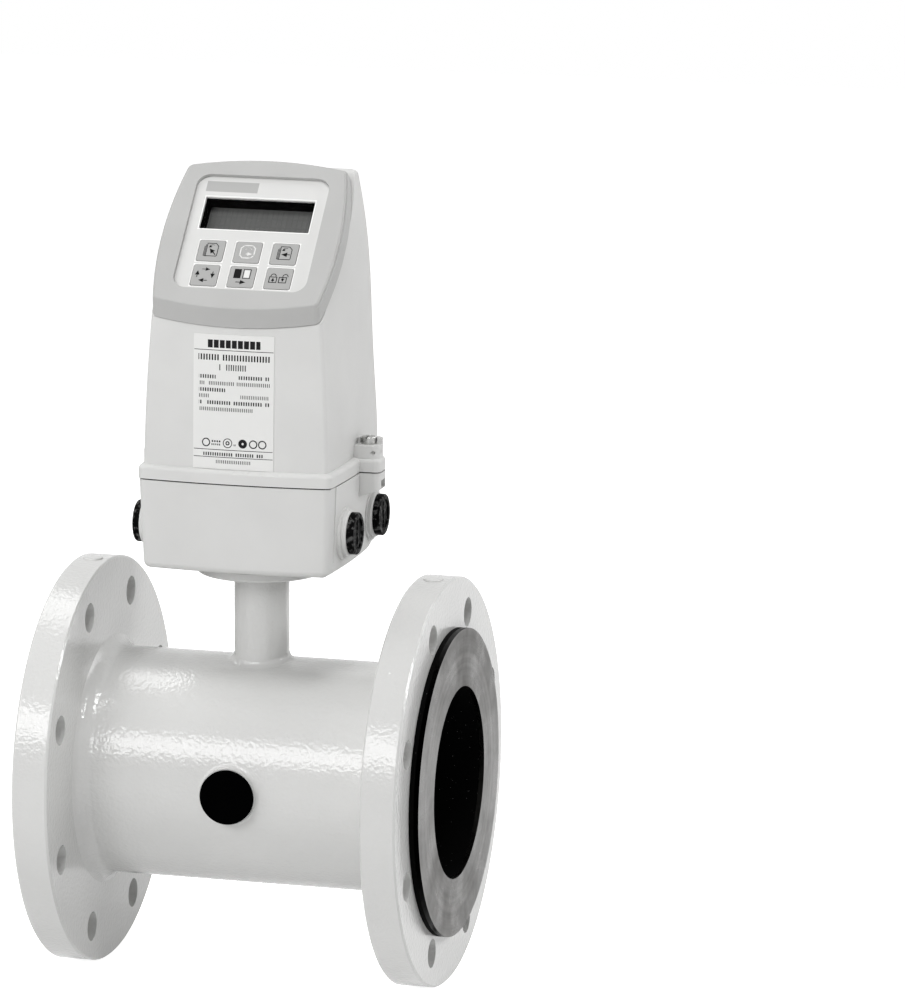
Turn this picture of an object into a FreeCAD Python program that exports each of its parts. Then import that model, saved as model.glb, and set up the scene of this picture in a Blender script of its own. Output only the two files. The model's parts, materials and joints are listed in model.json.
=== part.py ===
"""Electromagnetic flow meter with a display transmitter, DN125 PN16, in millimetres.

X runs along the pipe, from the inlet at -X to the outlet at +X. Z is up. Y points to the back,
so the display faces -Y. The origin lies on the bore's axis, midway between the two ends.
"""
import FreeCAD, Part
import math
import os

# Measuring section: a standard DN125 PN16 flanged body
face_to_face = 250.0
bore_radius = 58.75
liner_thickness = 2.5
tube_wall = 1.5
flange_radius = 125.0
flange_thickness = 22.0
flange_edge = 1.2
bolt_edge_distance = 20.0
bolt_hole_radius = 9.0
bolt_count = 8
earth_ring_thickness = 3.0
earth_ring_radius = 94.0
liner_flare_thickness = 3.0
housing_radius = 69.85
housing_wall = 2.0
flange_weld_height = 7.0
flange_weld_length = 10.0
rim_plug_radius = 6.0
rim_plug_depth = 8.0
rim_plug_proud = 0.8

# Coils, return band and electrodes inside the housing
coil_thickness = 2.4
coil_half_length = 62.0
coil_half_width = 55.0
coil_window_half_length = 36.0
coil_window_half_width = 33.0
coil_corner = 14.0
return_band_thickness = 1.0
return_band_half_length = 48.0
lead_radius = 0.45
lead_clearance = 0.25
lead_bend = 4.0
lead_start_angle = -2.0
lead_bundle_radius = 3.0
electrode_head_radius = 5.5
electrode_head_thickness = 1.5
electrode_stem_radius = 2.0
electrode_bush_radius = 6.0
electrode_bush_thickness = 1.0
electrode_nut_radius = 4.2
electrode_nut_thickness = 1.6

# Electrode access plugs on the front and the back of the housing
access_boss_radius = 17.4
access_boss_rise = 3.15
access_boss_fillet = 2.5
access_hole_radius = 14.0
access_plug_radius = 16.6
access_plug_head = 3.0
access_plug_shank = 4.6

# Neck that carries the terminal box
neck_radius = 16.85
neck_wall = 2.6
neck_weld_fillet = 5.0
neck_top = 125.0
neck_plate_radius = 40.0
neck_plate_thickness = 5.0
neck_gasket_radius = 38.0
neck_gasket_thickness = 4.0
neck_screw_circle = 28.0
neck_screw_radius = 2.5
neck_screw_head_radius = 4.5
neck_screw_head_height = 3.5
neck_screw_slot = 12.0

# Terminal box
box_half_width = 62.6
box_corner_inset = 2.4
box_half_depth = 58.3
box_height = 55.0
box_draft = 2.0
front_bulge = 4.0
box_corner = 4.5
box_rear_corner = 30.0
box_wall = 3.0
box_panel_step = 0.6
box_panel_front = 47.4
box_panel_rear = 46.0
box_panel_bottom = 8.0
entry_spread = 28.8
entry_height = 23.0
entry_boss_radius = 13.9
entry_boss_rise = 2.4
entry_boss_fillet = 1.2
entry_base_radius = 15.9
entry_base_drop = 0.5
entry_hole_radius = 10.0
entry_plug_radius = 12.7
entry_plug_head = 4.4
entry_plug_shank = 9.0
entry_slot_width = 3.0
entry_slot_depth = 2.2
entry_dish_radius = 9.4
entry_dish_depth = 1.0

# Ears on both sides that take the two cover screws
ear_radius = 9.5
ear_overhang = 2.9
ear_back = 6.5
ear_drop = 15.0
ear_front_corner = 4.0
ear_rear_corner = 7.0
ear_underside_slope = 19.0
ear_pocket_width = 11.0
ear_pocket_height = 5.6
ear_pocket_drop = 4.6
ear_pocket_depth = 3.2
post_radius = 8.4
post_height = 16.2
post_shield = 3.4
post_shield_gap = 0.7
cover_screw_radius = 2.5
cover_screw_head_radius = 4.6
cover_screw_head_height = 4.6
cover_screw_length = 24.0
cover_screw_edge = 0.9
screw_slot_width = 1.2
screw_slot_depth = 1.4
seal_hole_radius = 1.1

# Transmitter housing above the seam
seam_gap = 0.8
seal_inset = 1.2
seal_width = 1.5
skirt_height = 8.8
skirt_edge = 3.0
side_ledge = 4.7
front_ledge = 2.6
cover_rear_overhang = 0.5
cover_wall = 2.8
cover_front_corner = 3.0
cover_rear_corner = 8.0
cover_top_edge = 3.0
cover_base_overlap = 3.5
cover_height = 178.0
board_post_radius = 4.0

# Sloping display face, measured up the slope from its front edge and down from its surface
slope_angle = 46.0
slope_front_y = -54.8
slope_front_rise = 110.7
bezel_depth = 9.8
bezel_seal_thickness = 0.6
bezel_seal_inset = 1.0
bezel_seal_width = 2.2
bezel_side_inset = 7.6
bezel_front_taper = 4.3
bezel_rear_taper = 6.0
bezel_length = 97.4
bezel_top_arch = 5.3
bezel_side_flare = 1.5
bezel_corner_flare = 0.3
bezel_front_draft = 2.8
bezel_top_draft = 0.8
bezel_edge = 1.6
bezel_front_corner = 3.5
bezel_rear_corner = 4.0
bezel_lip = 0.7
bezel_lip_below_face = 2.3
bezel_lip_front_inset = 0.4
bezel_ledge = 1.8
panel_width = 83.0
panel_length = 82.7
panel_start = 7.9
panel_corner = 8.5
panel_drop = 2.35
panel_thickness = 2.0
window_width = 68.3
window_length = 23.4
window_start = 52.4
window_thickness = 1.4
window_drop = 0.2
display_depth = 12.5
display_thickness = 2.8
display_frame_wall = 2.6
display_frame_inset = 1.0
key_width = 16.1
key_length = 15.1
key_corner = 1.2
key_pitch_across = 22.9
key_pitch_along = 17.8
key_row_start = 10.9
key_proud = 0.3
key_edge = 0.25
key_lip = 0.7
key_lip_thickness = 0.9
key_stem_radius = 3.0
key_travel = 0.6
key_columns = 3
key_rows = 2
switch_size = 6.2
switch_height = 4.3
switch_dot_radius = 1.7
switch_dot_height = 0.8
display_board_width = 88.0
display_board_length = 84.0
board_thickness = 1.6

# Blank label on the hood's front
label_half_width = 25.0
label_height = 81.0
label_above_skirt = 0.3
label_thickness = 0.3

# Boards and their screws
board_edge = 5.5
board_hole_radius = 1.6
board_screw_radius = 1.1
board_screw_head_radius = 2.4
board_screw_head_height = 1.8
board_screw_length = 6.5
board_pilot_radius = 1.2
board_pilot_depth = 8.0
terminal_board_width = 96.0
terminal_board_depth = 84.0
terminal_board_rise = 12.0
main_board_width = 78.0
main_board_height = 92.0
main_board_y = 30.0
main_board_rise = 14.0
main_board_tongue_half = 18.6
main_board_tongue = 7.6
display_post_radius = 3.6
display_post_rib = 4.0

# Blocks on the boards
strip_pitch = 5.0
strip_depth = 11.0
strip_height = 13.0
strip_ledge_depth = 3.4
strip_ledge_drop = 4.0
strip_mouth = 3.4
strip_mouth_rise = 2.5
strip_mouth_height = 4.0
strip_well_y = 1.4
strip_well_depth = 3.0
supply_strip_place = (-26.0, -24.0)
output_strip_place = (24.0, -24.0)
sensor_strip_place = (-36.0, 6.0)
connector_half_width = 21.0
connector_wall = 4.0
connector_slot_depth = 8.0
memory_width = 18.0
memory_depth = 14.0
memory_height = 9.0
memory_y = 8.0
earth_screw_radius = 2.0
earth_screw_head_radius = 4.0
earth_screw_head_height = 3.0
transformer_left = -36.0
transformer_width = 38.0
transformer_depth = 26.0
transformer_height = 32.0
transformer_rise = 16.0
transformer_limb = 6.0
transformer_window = 7.0
winding_proud = 3.0
capacitor_radius = 7.5
capacitor_height = 24.0
capacitor_x = 20.0
capacitor_rises = (26.0, 46.0)

# Clearances
press_gap = 0.1
slide_gap = 0.3

# Keys by name: the top row from left to right, then the bottom row
key_names = ["top_menu_key", "backward_key", "page_key", "change_key", "select_key", "lock_key"]

# Worked out from the sizes above
flange_face = face_to_face / 2 - earth_ring_thickness - liner_flare_thickness
flange_back = flange_face - flange_thickness
bolt_circle_radius = flange_radius - bolt_edge_distance
liner_outer = bore_radius + liner_thickness
tube_inner = liner_outer + press_gap
tube_outer = tube_inner + tube_wall
coil_inner = tube_outer + press_gap
coil_outer = coil_inner + coil_thickness
band_inner = coil_outer + press_gap
band_outer = band_inner + return_band_thickness
housing_inner = housing_radius - housing_wall
lead_run = band_outer + lead_clearance + lead_radius
access_boss_reach = housing_radius + access_boss_rise
box_bottom = neck_top + neck_plate_thickness + neck_gasket_thickness
seam = box_bottom + box_height
box_rim = seam - seam_gap / 2
cover_rim = seam + seam_gap / 2
skirt_top = seam + skirt_height
entry_z = box_bottom + entry_height
entry_boss_reach = box_half_width + entry_boss_rise
entry_base_reach = box_half_width - entry_base_drop
ear_reach = box_half_width + ear_overhang
bezel_side_half = box_half_width - bezel_side_inset
bezel_front_half = bezel_side_half - bezel_front_taper
bezel_rear_half = bezel_side_half - bezel_rear_taper
slope_front_z = seam + slope_front_rise
slope_sin = math.sin(math.radians(slope_angle))
slope_cos = math.cos(math.radians(slope_angle))
up_slope = FreeCAD.Vector(0, slope_cos, slope_sin)
out_of_slope = FreeCAD.Vector(0, -slope_sin, slope_cos)
panel_surface = -panel_drop
panel_back = panel_surface - panel_thickness
display_surface = -display_depth
display_board_top = display_surface - display_thickness
x_axis = FreeCAD.Vector(1, 0, 0)
y_axis = FreeCAD.Vector(0, 1, 0)
z_axis = FreeCAD.Vector(0, 0, 1)
origin = FreeCAD.Vector(0, 0, 0)
beyond = 200.0


def vec(x, y, z):
    return FreeCAD.Vector(x, y, z)


def cut_all(shape, tools):
    for tool in tools:
        shape = shape.cut(tool)
    return shape


def save(name, shape):
    shape.exportStep("parts/" + name + ".step")


def rod(radius, start, end):
    """A round bar between two points."""
    along = end - start
    return Part.makeCylinder(radius, along.Length, start, along)


def ring(outer, inner, start, end):
    """A tube or washer between two points."""
    along = (end - start).normalize()
    return rod(outer, start, end).cut(rod(inner, start - along, end + along))


def block(x0, x1, y0, y1, z0, z1):
    return Part.makeBox(x1 - x0, y1 - y0, z1 - z0, vec(x0, y0, z0))


def turned(profile):
    """Revolve an (x, radius) outline about the bore's axis."""
    points = [vec(x, 0, r) for x, r in profile]
    points.append(points[0])
    return Part.Face(Part.makePolygon(points)).revolve(origin, x_axis, 360)


def rounded_plate(half_x, half_y, corner, z0, z1):
    """A flat plate about the Z axis with round corners."""
    plate = block(-half_x, half_x, -half_y, half_y, z0, z1)
    return plate.makeFillet(corner, upright_edges(plate))


def upright_edges(shape):
    """The edges that climb through most of a shape's height."""
    climb = 0.6 * shape.BoundBox.ZLength
    return [edge for edge in shape.Edges if edge.BoundBox.ZLength > climb]


def level_edges(shape, z):
    """The edges that lie flat at one height."""
    near = 0.01
    flat = []
    for edge in shape.Edges:
        bounds = edge.BoundBox
        if abs(bounds.ZMin - z) < near and abs(bounds.ZMax - z) < near:
            flat.append(edge)
    return flat


def on_slope(shape):
    """Carry a shape drawn with Y up the slope and Z out of it to its place on the head."""
    matrix = FreeCAD.Matrix(
        1, 0, 0, 0,
        0, up_slope.y, out_of_slope.y, slope_front_y,
        0, up_slope.z, out_of_slope.z, slope_front_z,
        0, 0, 0, 1)
    carried = shape.copy()
    carried.Placement = FreeCAD.Placement(matrix).multiply(shape.Placement)
    return carried


def slope_plate(width, length, corner, start, top, bottom):
    """A plate with round corners, still lying flat, that starts some way up the slope."""
    plate = rounded_plate(width / 2, length / 2, corner, bottom, top)
    plate.translate(vec(0, start + length / 2, 0))
    return plate


def mirrored(shape):
    """The same shape on the other side of the middle, where X is zero."""
    return shape.mirror(origin, x_axis)


def both_sides(shape):
    return [shape, mirrored(shape)]


def plan_wire(z, front_half, side_half, rear_half, front_y, bulge, rear_y):
    """One level outline: a front that bows out, two sides and a straight back."""
    front_right = vec(front_half, front_y, z)
    front_left = vec(-front_half, front_y, z)
    rear_right = vec(rear_half, rear_y, z)
    rear_left = vec(-rear_half, rear_y, z)
    edges = [Part.Arc(front_left, vec(0, front_y - bulge, z), front_right).toShape()]
    if side_half - (front_half + rear_half) / 2 > 0.01:
        edges.append(Part.Arc(front_right, vec(side_half, 0, z), rear_right).toShape())
        edges.append(Part.makeLine(rear_right, rear_left))
        edges.append(Part.Arc(rear_left, vec(-side_half, 0, z), front_left).toShape())
    else:
        edges.append(Part.makeLine(front_right, rear_right))
        edges.append(Part.makeLine(rear_right, rear_left))
        edges.append(Part.makeLine(rear_left, front_left))
    return Part.Wire(edges)


def box_wire(z, inset, side_step):
    """The terminal box's outline at a height, drafted so that it leaves its mould."""
    half_x = box_half_width - inset - side_step - box_draft * (seam - z) / box_height
    half_y = box_half_depth - inset - box_draft * (seam - z) / box_height
    corner_x = half_x - box_corner_inset
    return plan_wire(z, corner_x, half_x, corner_x, -half_y, front_bulge, half_y)


def box_form(inset, side_step, top):
    """The terminal box as a solid, with its outside moved in by a wall and its sides by a step."""
    bottom = box_bottom + inset
    form = Part.makeLoft([box_wire(z, inset, side_step) for z in (bottom, top)], True, True)
    rear_bottom = [e for e in level_edges(form, bottom) if e.BoundBox.YMin > 0 and e.BoundBox.YLength < 1]
    form = form.makeFillet(box_rear_corner - inset, rear_bottom)
    rounded = []
    for edge in form.Edges:
        bounds = edge.BoundBox
        along_rear = bounds.YMin > 0 and bounds.XLength > box_half_width
        if bounds.ZMin < top - 1 and not along_rear:
            rounded.append(edge)
    return form.makeFillet(box_corner - inset, rounded)


def ear_form(radius, bottom, top):
    """An ear on the right that stands out from the side wall: a block with two round edges."""
    inside = box_half_width - 2 * box_wall
    body = block(inside, ear_reach + radius, ear_back - radius, ear_back + radius, bottom, top)
    outer = [e for e in body.Edges if e.BoundBox.XMin > ear_reach and e.BoundBox.ZLength > (top - bottom) / 2]
    body = body.makeFillet(ear_front_corner, [e for e in outer if e.BoundBox.YMax < ear_back])
    outer = [e for e in body.Edges if e.BoundBox.XMin > ear_reach + radius / 2
             and e.BoundBox.YMin > ear_back + radius / 2 and e.BoundBox.ZLength > (top - bottom) / 2]
    return body.makeFillet(ear_rear_corner, outer)


def ear_pocket():
    """The square pocket in the right ear's outer side, where the screw's nut is put in."""
    top = box_rim - ear_pocket_drop
    outer_face = ear_reach + ear_radius
    return block(outer_face - ear_pocket_depth, outer_face + 1, ear_back - ear_pocket_width / 2,
                 ear_back + ear_pocket_width / 2, top - ear_pocket_height, top)


def ear_underside():
    """What is cut away below the right ear, so that its underside rises outwards."""
    wedge = block(-beyond, beyond, -beyond, beyond, -beyond, 0)
    wedge.rotate(origin, y_axis, -ear_underside_slope)
    wedge.translate(vec(box_half_width - box_draft, 0, box_rim - ear_drop))
    return wedge.common(block(box_half_width - box_wall, beyond, -beyond, beyond, -beyond, beyond))


# Measuring section

def measuring_tube():
    return ring(tube_outer, tube_inner, vec(-flange_face, 0, 0), vec(flange_face, 0, 0)).cut(
        rod(electrode_bush_radius - 1, vec(0, -beyond, 0), vec(0, beyond, 0)))


def liner():
    """The rubber lining, turned over both flange faces."""
    flare = flange_face + liner_flare_thickness
    shape = turned([
        (-flare, bore_radius), (flare, bore_radius), (flare, earth_ring_radius),
        (flange_face, earth_ring_radius), (flange_face, liner_outer), (-flange_face, liner_outer),
        (-flange_face, earth_ring_radius), (-flare, earth_ring_radius)])
    for side in (-1, 1):
        face = vec(0, side * (bore_radius - 1), 0)
        seat = vec(0, side * (bore_radius + electrode_head_thickness), 0)
        shape = shape.cut(rod(electrode_head_radius + press_gap, face, seat))
        outside = vec(0, side * (liner_outer + 1), 0)
        shape = shape.cut(rod(electrode_stem_radius + press_gap, face, outside))
    return shape


def flange(side):
    """A flange with eight bolt holes that straddle the centre lines, and a hole in its rim."""
    bore = tube_outer + press_gap
    rim = flange_radius - flange_edge
    profile = [
        (flange_back, bore), (flange_back, rim), (flange_back + flange_edge, flange_radius),
        (flange_face - flange_edge, flange_radius), (flange_face, rim), (flange_face, bore)]
    shape = turned([(side * x, r) for x, r in profile])
    for number in range(bolt_count):
        angle = 2 * math.pi * (number + 0.5) / bolt_count
        y = bolt_circle_radius * math.cos(angle)
        z = bolt_circle_radius * math.sin(angle)
        shape = shape.cut(rod(bolt_hole_radius, vec(side * (flange_back - 1), y, z),
                              vec(side * (flange_face + 1), y, z)))
    middle = side * (flange_back + flange_thickness / 2)
    hole = rod(rim_plug_radius + press_gap, vec(middle, 0, flange_radius - rim_plug_depth),
               vec(middle, 0, flange_radius + 1))
    return shape.cut(hole)


def rim_plug(side):
    """A round plug with a low dome, pressed into the flange's rim."""
    middle = side * (flange_back + flange_thickness / 2)
    top = flange_radius + rim_plug_proud
    plug = rod(rim_plug_radius, vec(middle, 0, flange_radius - rim_plug_depth), vec(middle, 0, top))
    return plug.makeFillet(rim_plug_proud, level_edges(plug, top))


def earth_ring(side):
    inner_face = flange_face + liner_flare_thickness
    shape = ring(earth_ring_radius, bore_radius, vec(side * inner_face, 0, 0),
                 vec(side * face_to_face / 2, 0, 0))
    return shape


def coil_housing():
    """The outer tube with its welds, the neck's hole and the two bosses for the access plugs."""
    tube = rod(housing_radius, vec(-flange_back, 0, 0), vec(flange_back, 0, 0))
    boss = rod(access_boss_radius, vec(0, -access_boss_reach, 0), vec(0, access_boss_reach, 0))
    neck = rod(neck_radius, origin, vec(0, 0, neck_top))
    shape = tube.fuse(boss)
    joint = [e for e in shape.Edges if e.BoundBox.XLength > 1.9 * access_boss_radius
             and e.BoundBox.XLength < 3 * access_boss_radius and e.BoundBox.YLength > 0.5]
    shape = shape.makeFillet(access_boss_fillet, joint)
    shape = shape.fuse(neck)
    joint = [e for e in shape.Edges if e.BoundBox.ZMin > 0.9 * housing_inner
             and e.BoundBox.ZMax < 1.01 * housing_radius and e.BoundBox.XLength < 2.2 * neck_radius
             and e.BoundBox.YLength > neck_radius]
    shape = shape.makeFillet(neck_weld_fillet, joint)
    shape = shape.cut(rod(housing_inner, vec(-flange_back - 1, 0, 0), vec(flange_back + 1, 0, 0)))
    shape = shape.cut(rod(access_hole_radius + press_gap, vec(0, -access_boss_reach - 1, 0),
                          vec(0, access_boss_reach + 1, 0)))
    shape = shape.cut(rod(neck_radius + press_gap, origin, vec(0, 0, neck_top + 1)))
    weld_foot = housing_radius + flange_weld_height
    for side in (-1, 1):
        toe = flange_back - flange_weld_length
        bend = 0.35
        middle = vec(side * (flange_back - bend * flange_weld_length), 0,
                     housing_radius + bend * flange_weld_height)
        section = Part.Wire([
            Part.Arc(vec(side * toe, 0, housing_radius), middle,
                     vec(side * flange_back, 0, weld_foot)).toShape(),
            Part.makeLine(vec(side * flange_back, 0, weld_foot), vec(side * flange_back, 0, housing_inner)),
            Part.makeLine(vec(side * flange_back, 0, housing_inner), vec(side * toe, 0, housing_inner)),
            Part.makeLine(vec(side * toe, 0, housing_inner), vec(side * toe, 0, housing_radius))])
        shape = shape.fuse(Part.Face(section).revolve(origin, x_axis, 360))
    return shape.removeSplitter()


def saddle(half_length, half_width, corner, inner, outer, up):
    """A plate bent round the tube: a flat outline cut through a tube's wall, above or below."""
    wall = ring(outer, inner, vec(-half_length - 1, 0, 0), vec(half_length + 1, 0, 0))
    low, high = (5, outer + 5) if up else (-outer - 5, -5)
    return wall.common(rounded_plate(half_length, half_width, corner, low, high))


def coil(up):
    """A saddle coil: its turns run along the tube and over its ends, round an open window."""
    turns = saddle(coil_half_length, coil_half_width, coil_corner, coil_inner, coil_outer, up)
    window = rounded_plate(coil_window_half_length, coil_window_half_width, coil_corner / 2,
                           -housing_radius, housing_radius)
    return turns.cut(window)


def pole_shoe(up):
    """The steel plate in a coil's window. The upper one lets the leads past."""
    room = slide_gap
    return saddle(coil_window_half_length - room, coil_window_half_width - room, coil_corner / 2,
                  coil_inner, coil_outer, up)


def return_band():
    """The steel band round both coils, which carries the field back. It is open at the electrodes."""
    shape = ring(band_outer, band_inner, vec(-return_band_half_length, 0, 0),
                 vec(return_band_half_length, 0, 0))
    opening = electrode_bush_radius + 2
    return shape.cut(rod(opening, vec(0, -beyond, 0), vec(0, beyond, 0)))


def electrode(side):
    """A pin with a flush head inside the liner and a stem out through the tube."""
    head_back = bore_radius + electrode_head_thickness
    tip = lead_run - lead_radius - press_gap
    head = rod(electrode_head_radius, vec(0, side * (bore_radius - 1), 0), vec(0, side * head_back, 0))
    stem = rod(electrode_stem_radius, vec(0, side * (head_back - 0.5), 0), vec(0, side * tip, 0))
    shape = head.fuse(stem).removeSplitter()
    return shape.cut(rod(bore_radius, vec(-beyond, 0, 0), vec(beyond, 0, 0)))


def electrode_bush(side):
    """The insulating washer between the tube and the nut, hollowed to the tube's outside."""
    outer_face = tube_outer + electrode_bush_thickness
    shape = ring(electrode_bush_radius, electrode_stem_radius + press_gap,
                 vec(0, side * (tube_outer - 1), 0), vec(0, side * outer_face, 0))
    return shape.cut(rod(tube_outer + press_gap / 2, vec(-beyond, 0, 0), vec(beyond, 0, 0)))


def electrode_nut(side):
    inner_face = side * (tube_outer + electrode_bush_thickness)
    outline = [vec(electrode_nut_radius * math.cos(math.radians(60 * corner)), inner_face,
                   electrode_nut_radius * math.sin(math.radians(60 * corner))) for corner in range(7)]
    nut = Part.Face(Part.makePolygon(outline)).extrude(vec(0, side * electrode_nut_thickness, 0))
    return nut.cut(rod(electrode_stem_radius + press_gap, vec(0, inner_face - side, 0),
                       vec(0, inner_face + side * (electrode_nut_thickness + 1), 0)))


def electrode_lead(side):
    """A thin lead that runs round outside the band from the electrode and turns up the neck."""
    run = lead_run
    bend = lead_bend
    off_axis = lead_bundle_radius + 2 * lead_radius + press_gap
    first = math.radians(lead_start_angle)
    centre = vec(0, side * (off_axis + bend), math.sqrt((run + bend) ** 2 - (off_axis + bend) ** 2))
    inward = vec(0, -centre.y, -centre.z).normalize()
    across = vec(0, -side, 0)
    start = vec(0, side * run * math.cos(first), run * math.sin(first))
    end = centre + inward * bend
    half_way = vec(0, start.y + end.y, start.z + end.z).normalize() * run
    turn_end = centre + across * bend
    turn_middle = centre + (inward + across).normalize() * bend
    top = vec(0, turn_end.y, lead_top())
    route = Part.Wire([
        Part.Arc(start, half_way, end).toShape(),
        Part.Arc(end, turn_middle, turn_end).toShape(),
        Part.makeLine(turn_end, top)])
    along = vec(0, -side * math.sin(first), math.cos(first))
    section = Part.Wire([Part.makeCircle(lead_radius, start, along)])
    return route.makePipeShell([section], True, False)


def lead_top():
    """Leads end at the underside of the terminal board."""
    return box_bottom + terminal_board_rise


def lead_bundle():
    """The coils' sheathed cable, from the band's top up the neck to the terminal board."""
    return rod(lead_bundle_radius, vec(0, 0, band_outer + press_gap), vec(0, 0, lead_top()))


def access_plug(side):
    """A black plug with a broad head, pushed into the boss over an electrode."""
    face = access_boss_reach + access_plug_head
    head = rod(access_plug_radius, vec(0, side * access_boss_reach, 0), vec(0, side * face, 0))
    rim = [e for e in head.Edges if abs(e.BoundBox.YMin - side * face) < 0.01
           and abs(e.BoundBox.YMax - side * face) < 0.01]
    head = head.makeFillet(0.8, rim)
    shank = rod(access_hole_radius, vec(0, side * (access_boss_reach - access_plug_shank), 0),
                vec(0, side * (access_boss_reach + 1), 0))
    return head.fuse(shank).removeSplitter()


# Neck

def neck_tube():
    """The stub pipe, cut to the housing's curve at its foot."""
    shape = ring(neck_radius, neck_radius - neck_wall, origin, vec(0, 0, neck_top))
    return shape.cut(rod(housing_inner, vec(-beyond, 0, 0), vec(beyond, 0, 0))).common(
        block(-beyond, beyond, -beyond, beyond, housing_inner / 2, neck_top))


def neck_screw_places():
    places = []
    for number in range(4):
        angle = math.radians(45 + 90 * number)
        places.append((neck_screw_circle * math.cos(angle), neck_screw_circle * math.sin(angle)))
    return places


def neck_plate():
    """The disc on top of the neck, with threaded holes for the terminal box's screws."""
    top = neck_top + neck_plate_thickness
    disc = ring(neck_plate_radius, neck_radius - neck_wall, vec(0, 0, neck_top), vec(0, 0, top))
    rim = [e for e in level_edges(disc, neck_top) if e.BoundBox.XLength > 1.5 * neck_plate_radius]
    disc = disc.makeChamfer(1.0, rim)
    return cut_all(disc, [rod(neck_screw_radius + press_gap, vec(x, y, neck_top - 1), vec(x, y, top + 1))
                          for x, y in neck_screw_places()])


def neck_gasket():
    bottom = neck_top + neck_plate_thickness
    disc = ring(neck_gasket_radius, neck_radius - neck_wall, vec(0, 0, bottom), vec(0, 0, box_bottom))
    return cut_all(disc, [rod(neck_screw_radius + press_gap, vec(x, y, bottom - 1), vec(x, y, seam))
                          for x, y in neck_screw_places()])


def neck_screws():
    """Four pan-head screws that hold the box down on the neck plate."""
    floor = box_bottom + box_wall
    top = floor + neck_screw_head_height
    screws = []
    for x, y in neck_screw_places():
        head = rod(neck_screw_head_radius, vec(x, y, floor), vec(x, y, top))
        head = head.makeChamfer(1.2, level_edges(head, top))
        shank = rod(neck_screw_radius, vec(x, y, neck_top + 0.5), vec(x, y, floor + 1))
        screw = head.fuse(shank).removeSplitter()
        slot = block(x - screw_slot_width / 2, x + screw_slot_width / 2, y - neck_screw_slot / 2,
                     y + neck_screw_slot / 2, top - screw_slot_depth, top + 1)
        screws.append(screw.cut(slot))
    return Part.makeCompound(screws)


# Terminal box

def entry_places():
    return [(side, y) for side in (-1, 1) for y in (-entry_spread, entry_spread)]


def terminal_board_posts():
    half_x = terminal_board_width / 2 - board_edge
    half_y = terminal_board_depth / 2 - board_edge
    return [(x, y) for x in (-half_x, half_x) for y in (-half_y, half_y)]


def terminal_box():
    """The moulded lower box: drafted walls, four cable entries and an ear on each side."""
    shape = box_form(0, box_panel_step, box_rim)
    panel = block(box_half_width / 2, beyond, -box_panel_front, box_panel_rear,
                  box_bottom + box_panel_bottom, box_rim).common(box_form(0, 0, box_rim))
    ear = ear_form(ear_radius, box_rim - ear_drop, box_rim).cut(ear_underside()).cut(ear_pocket())
    for addition in both_sides(panel) + both_sides(ear):
        shape = shape.fuse(addition)
    for side, y in entry_places():
        root = side * (box_half_width - box_wall - box_draft)
        base = rod(entry_base_radius, vec(root, y, entry_z), vec(side * entry_base_reach, y, entry_z))
        shape = shape.fuse(base)
        boss = rod(entry_boss_radius, vec(root, y, entry_z), vec(side * entry_boss_reach, y, entry_z))
        rim = [e for e in boss.Edges if abs(e.BoundBox.XMin - side * entry_boss_reach) < 0.01
               and abs(e.BoundBox.XMax - side * entry_boss_reach) < 0.01]
        boss = boss.makeFillet(entry_boss_fillet, rim)
        shape = shape.fuse(boss)
    seat = rod(neck_gasket_radius, vec(0, 0, box_bottom), vec(0, 0, box_bottom + box_rear_corner / 3))
    shape = shape.fuse(seat.common(block(-beyond, beyond, -beyond, box_half_depth - box_wall, 0, seam)))
    shape = shape.cut(box_form(box_wall, 0, seam))
    for side, y in entry_places():
        hole = rod(entry_hole_radius + press_gap, vec(side * box_half_width / 2, y, entry_z),
                   vec(side * (entry_boss_reach + 1), y, entry_z))
        shape = shape.cut(hole)
    floor = box_bottom + box_wall
    for x, y in terminal_board_posts():
        shape = shape.fuse(rod(board_post_radius, vec(x, y, box_bottom + 1), vec(x, y, lead_top())))
        shape = shape.cut(rod(board_pilot_radius, vec(x, y, lead_top() - board_pilot_depth),
                              vec(x, y, lead_top() + 1)))
    for x, y in neck_screw_places():
        shape = shape.cut(rod(neck_screw_radius + press_gap, vec(x, y, box_bottom - 1), vec(x, y, floor + 1)))
    shape = shape.cut(rod(neck_radius - neck_wall, vec(0, 0, box_bottom - 1), vec(0, 0, floor + 1)))
    earth = earth_screw_place()
    shape = shape.cut(rod(earth_screw_radius + press_gap, earth + vec(0, 0, 1 - box_wall),
                          earth + vec(0, 0, 1)))
    bolt = rod(cover_screw_radius + press_gap, vec(ear_reach, ear_back, seam - ear_drop + 3),
               vec(ear_reach, ear_back, seam + 1))
    return cut_all(shape, both_sides(bolt)).removeSplitter()


def entry_plug(side, y):
    """A blanking plug with a dished face and a slot for a coin or a screwdriver."""
    face = entry_boss_reach + entry_plug_head
    head = rod(entry_plug_radius, vec(side * entry_boss_reach, y, entry_z), vec(side * face, y, entry_z))
    rim = [e for e in head.Edges if abs(e.BoundBox.XMin - side * face) < 0.01
           and abs(e.BoundBox.XMax - side * face) < 0.01]
    head = head.makeFillet(0.9, rim)
    shank = rod(entry_hole_radius, vec(side * (entry_boss_reach - entry_plug_shank), y, entry_z),
                vec(side * (entry_boss_reach + 1), y, entry_z))
    shape = head.fuse(shank).removeSplitter()
    dish = rod(entry_dish_radius, vec(side * (face - entry_dish_depth), y, entry_z),
               vec(side * (face + 1), y, entry_z))
    shape = shape.cut(dish)
    x0, x1 = sorted((side * (face - entry_slot_depth), side * (face + 1)))
    slot = block(x0, x1, y - entry_slot_width / 2, y + entry_slot_width / 2,
                 entry_z - entry_dish_radius + 0.4, entry_z + entry_dish_radius - 0.4)
    return shape.cut(slot)


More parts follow.
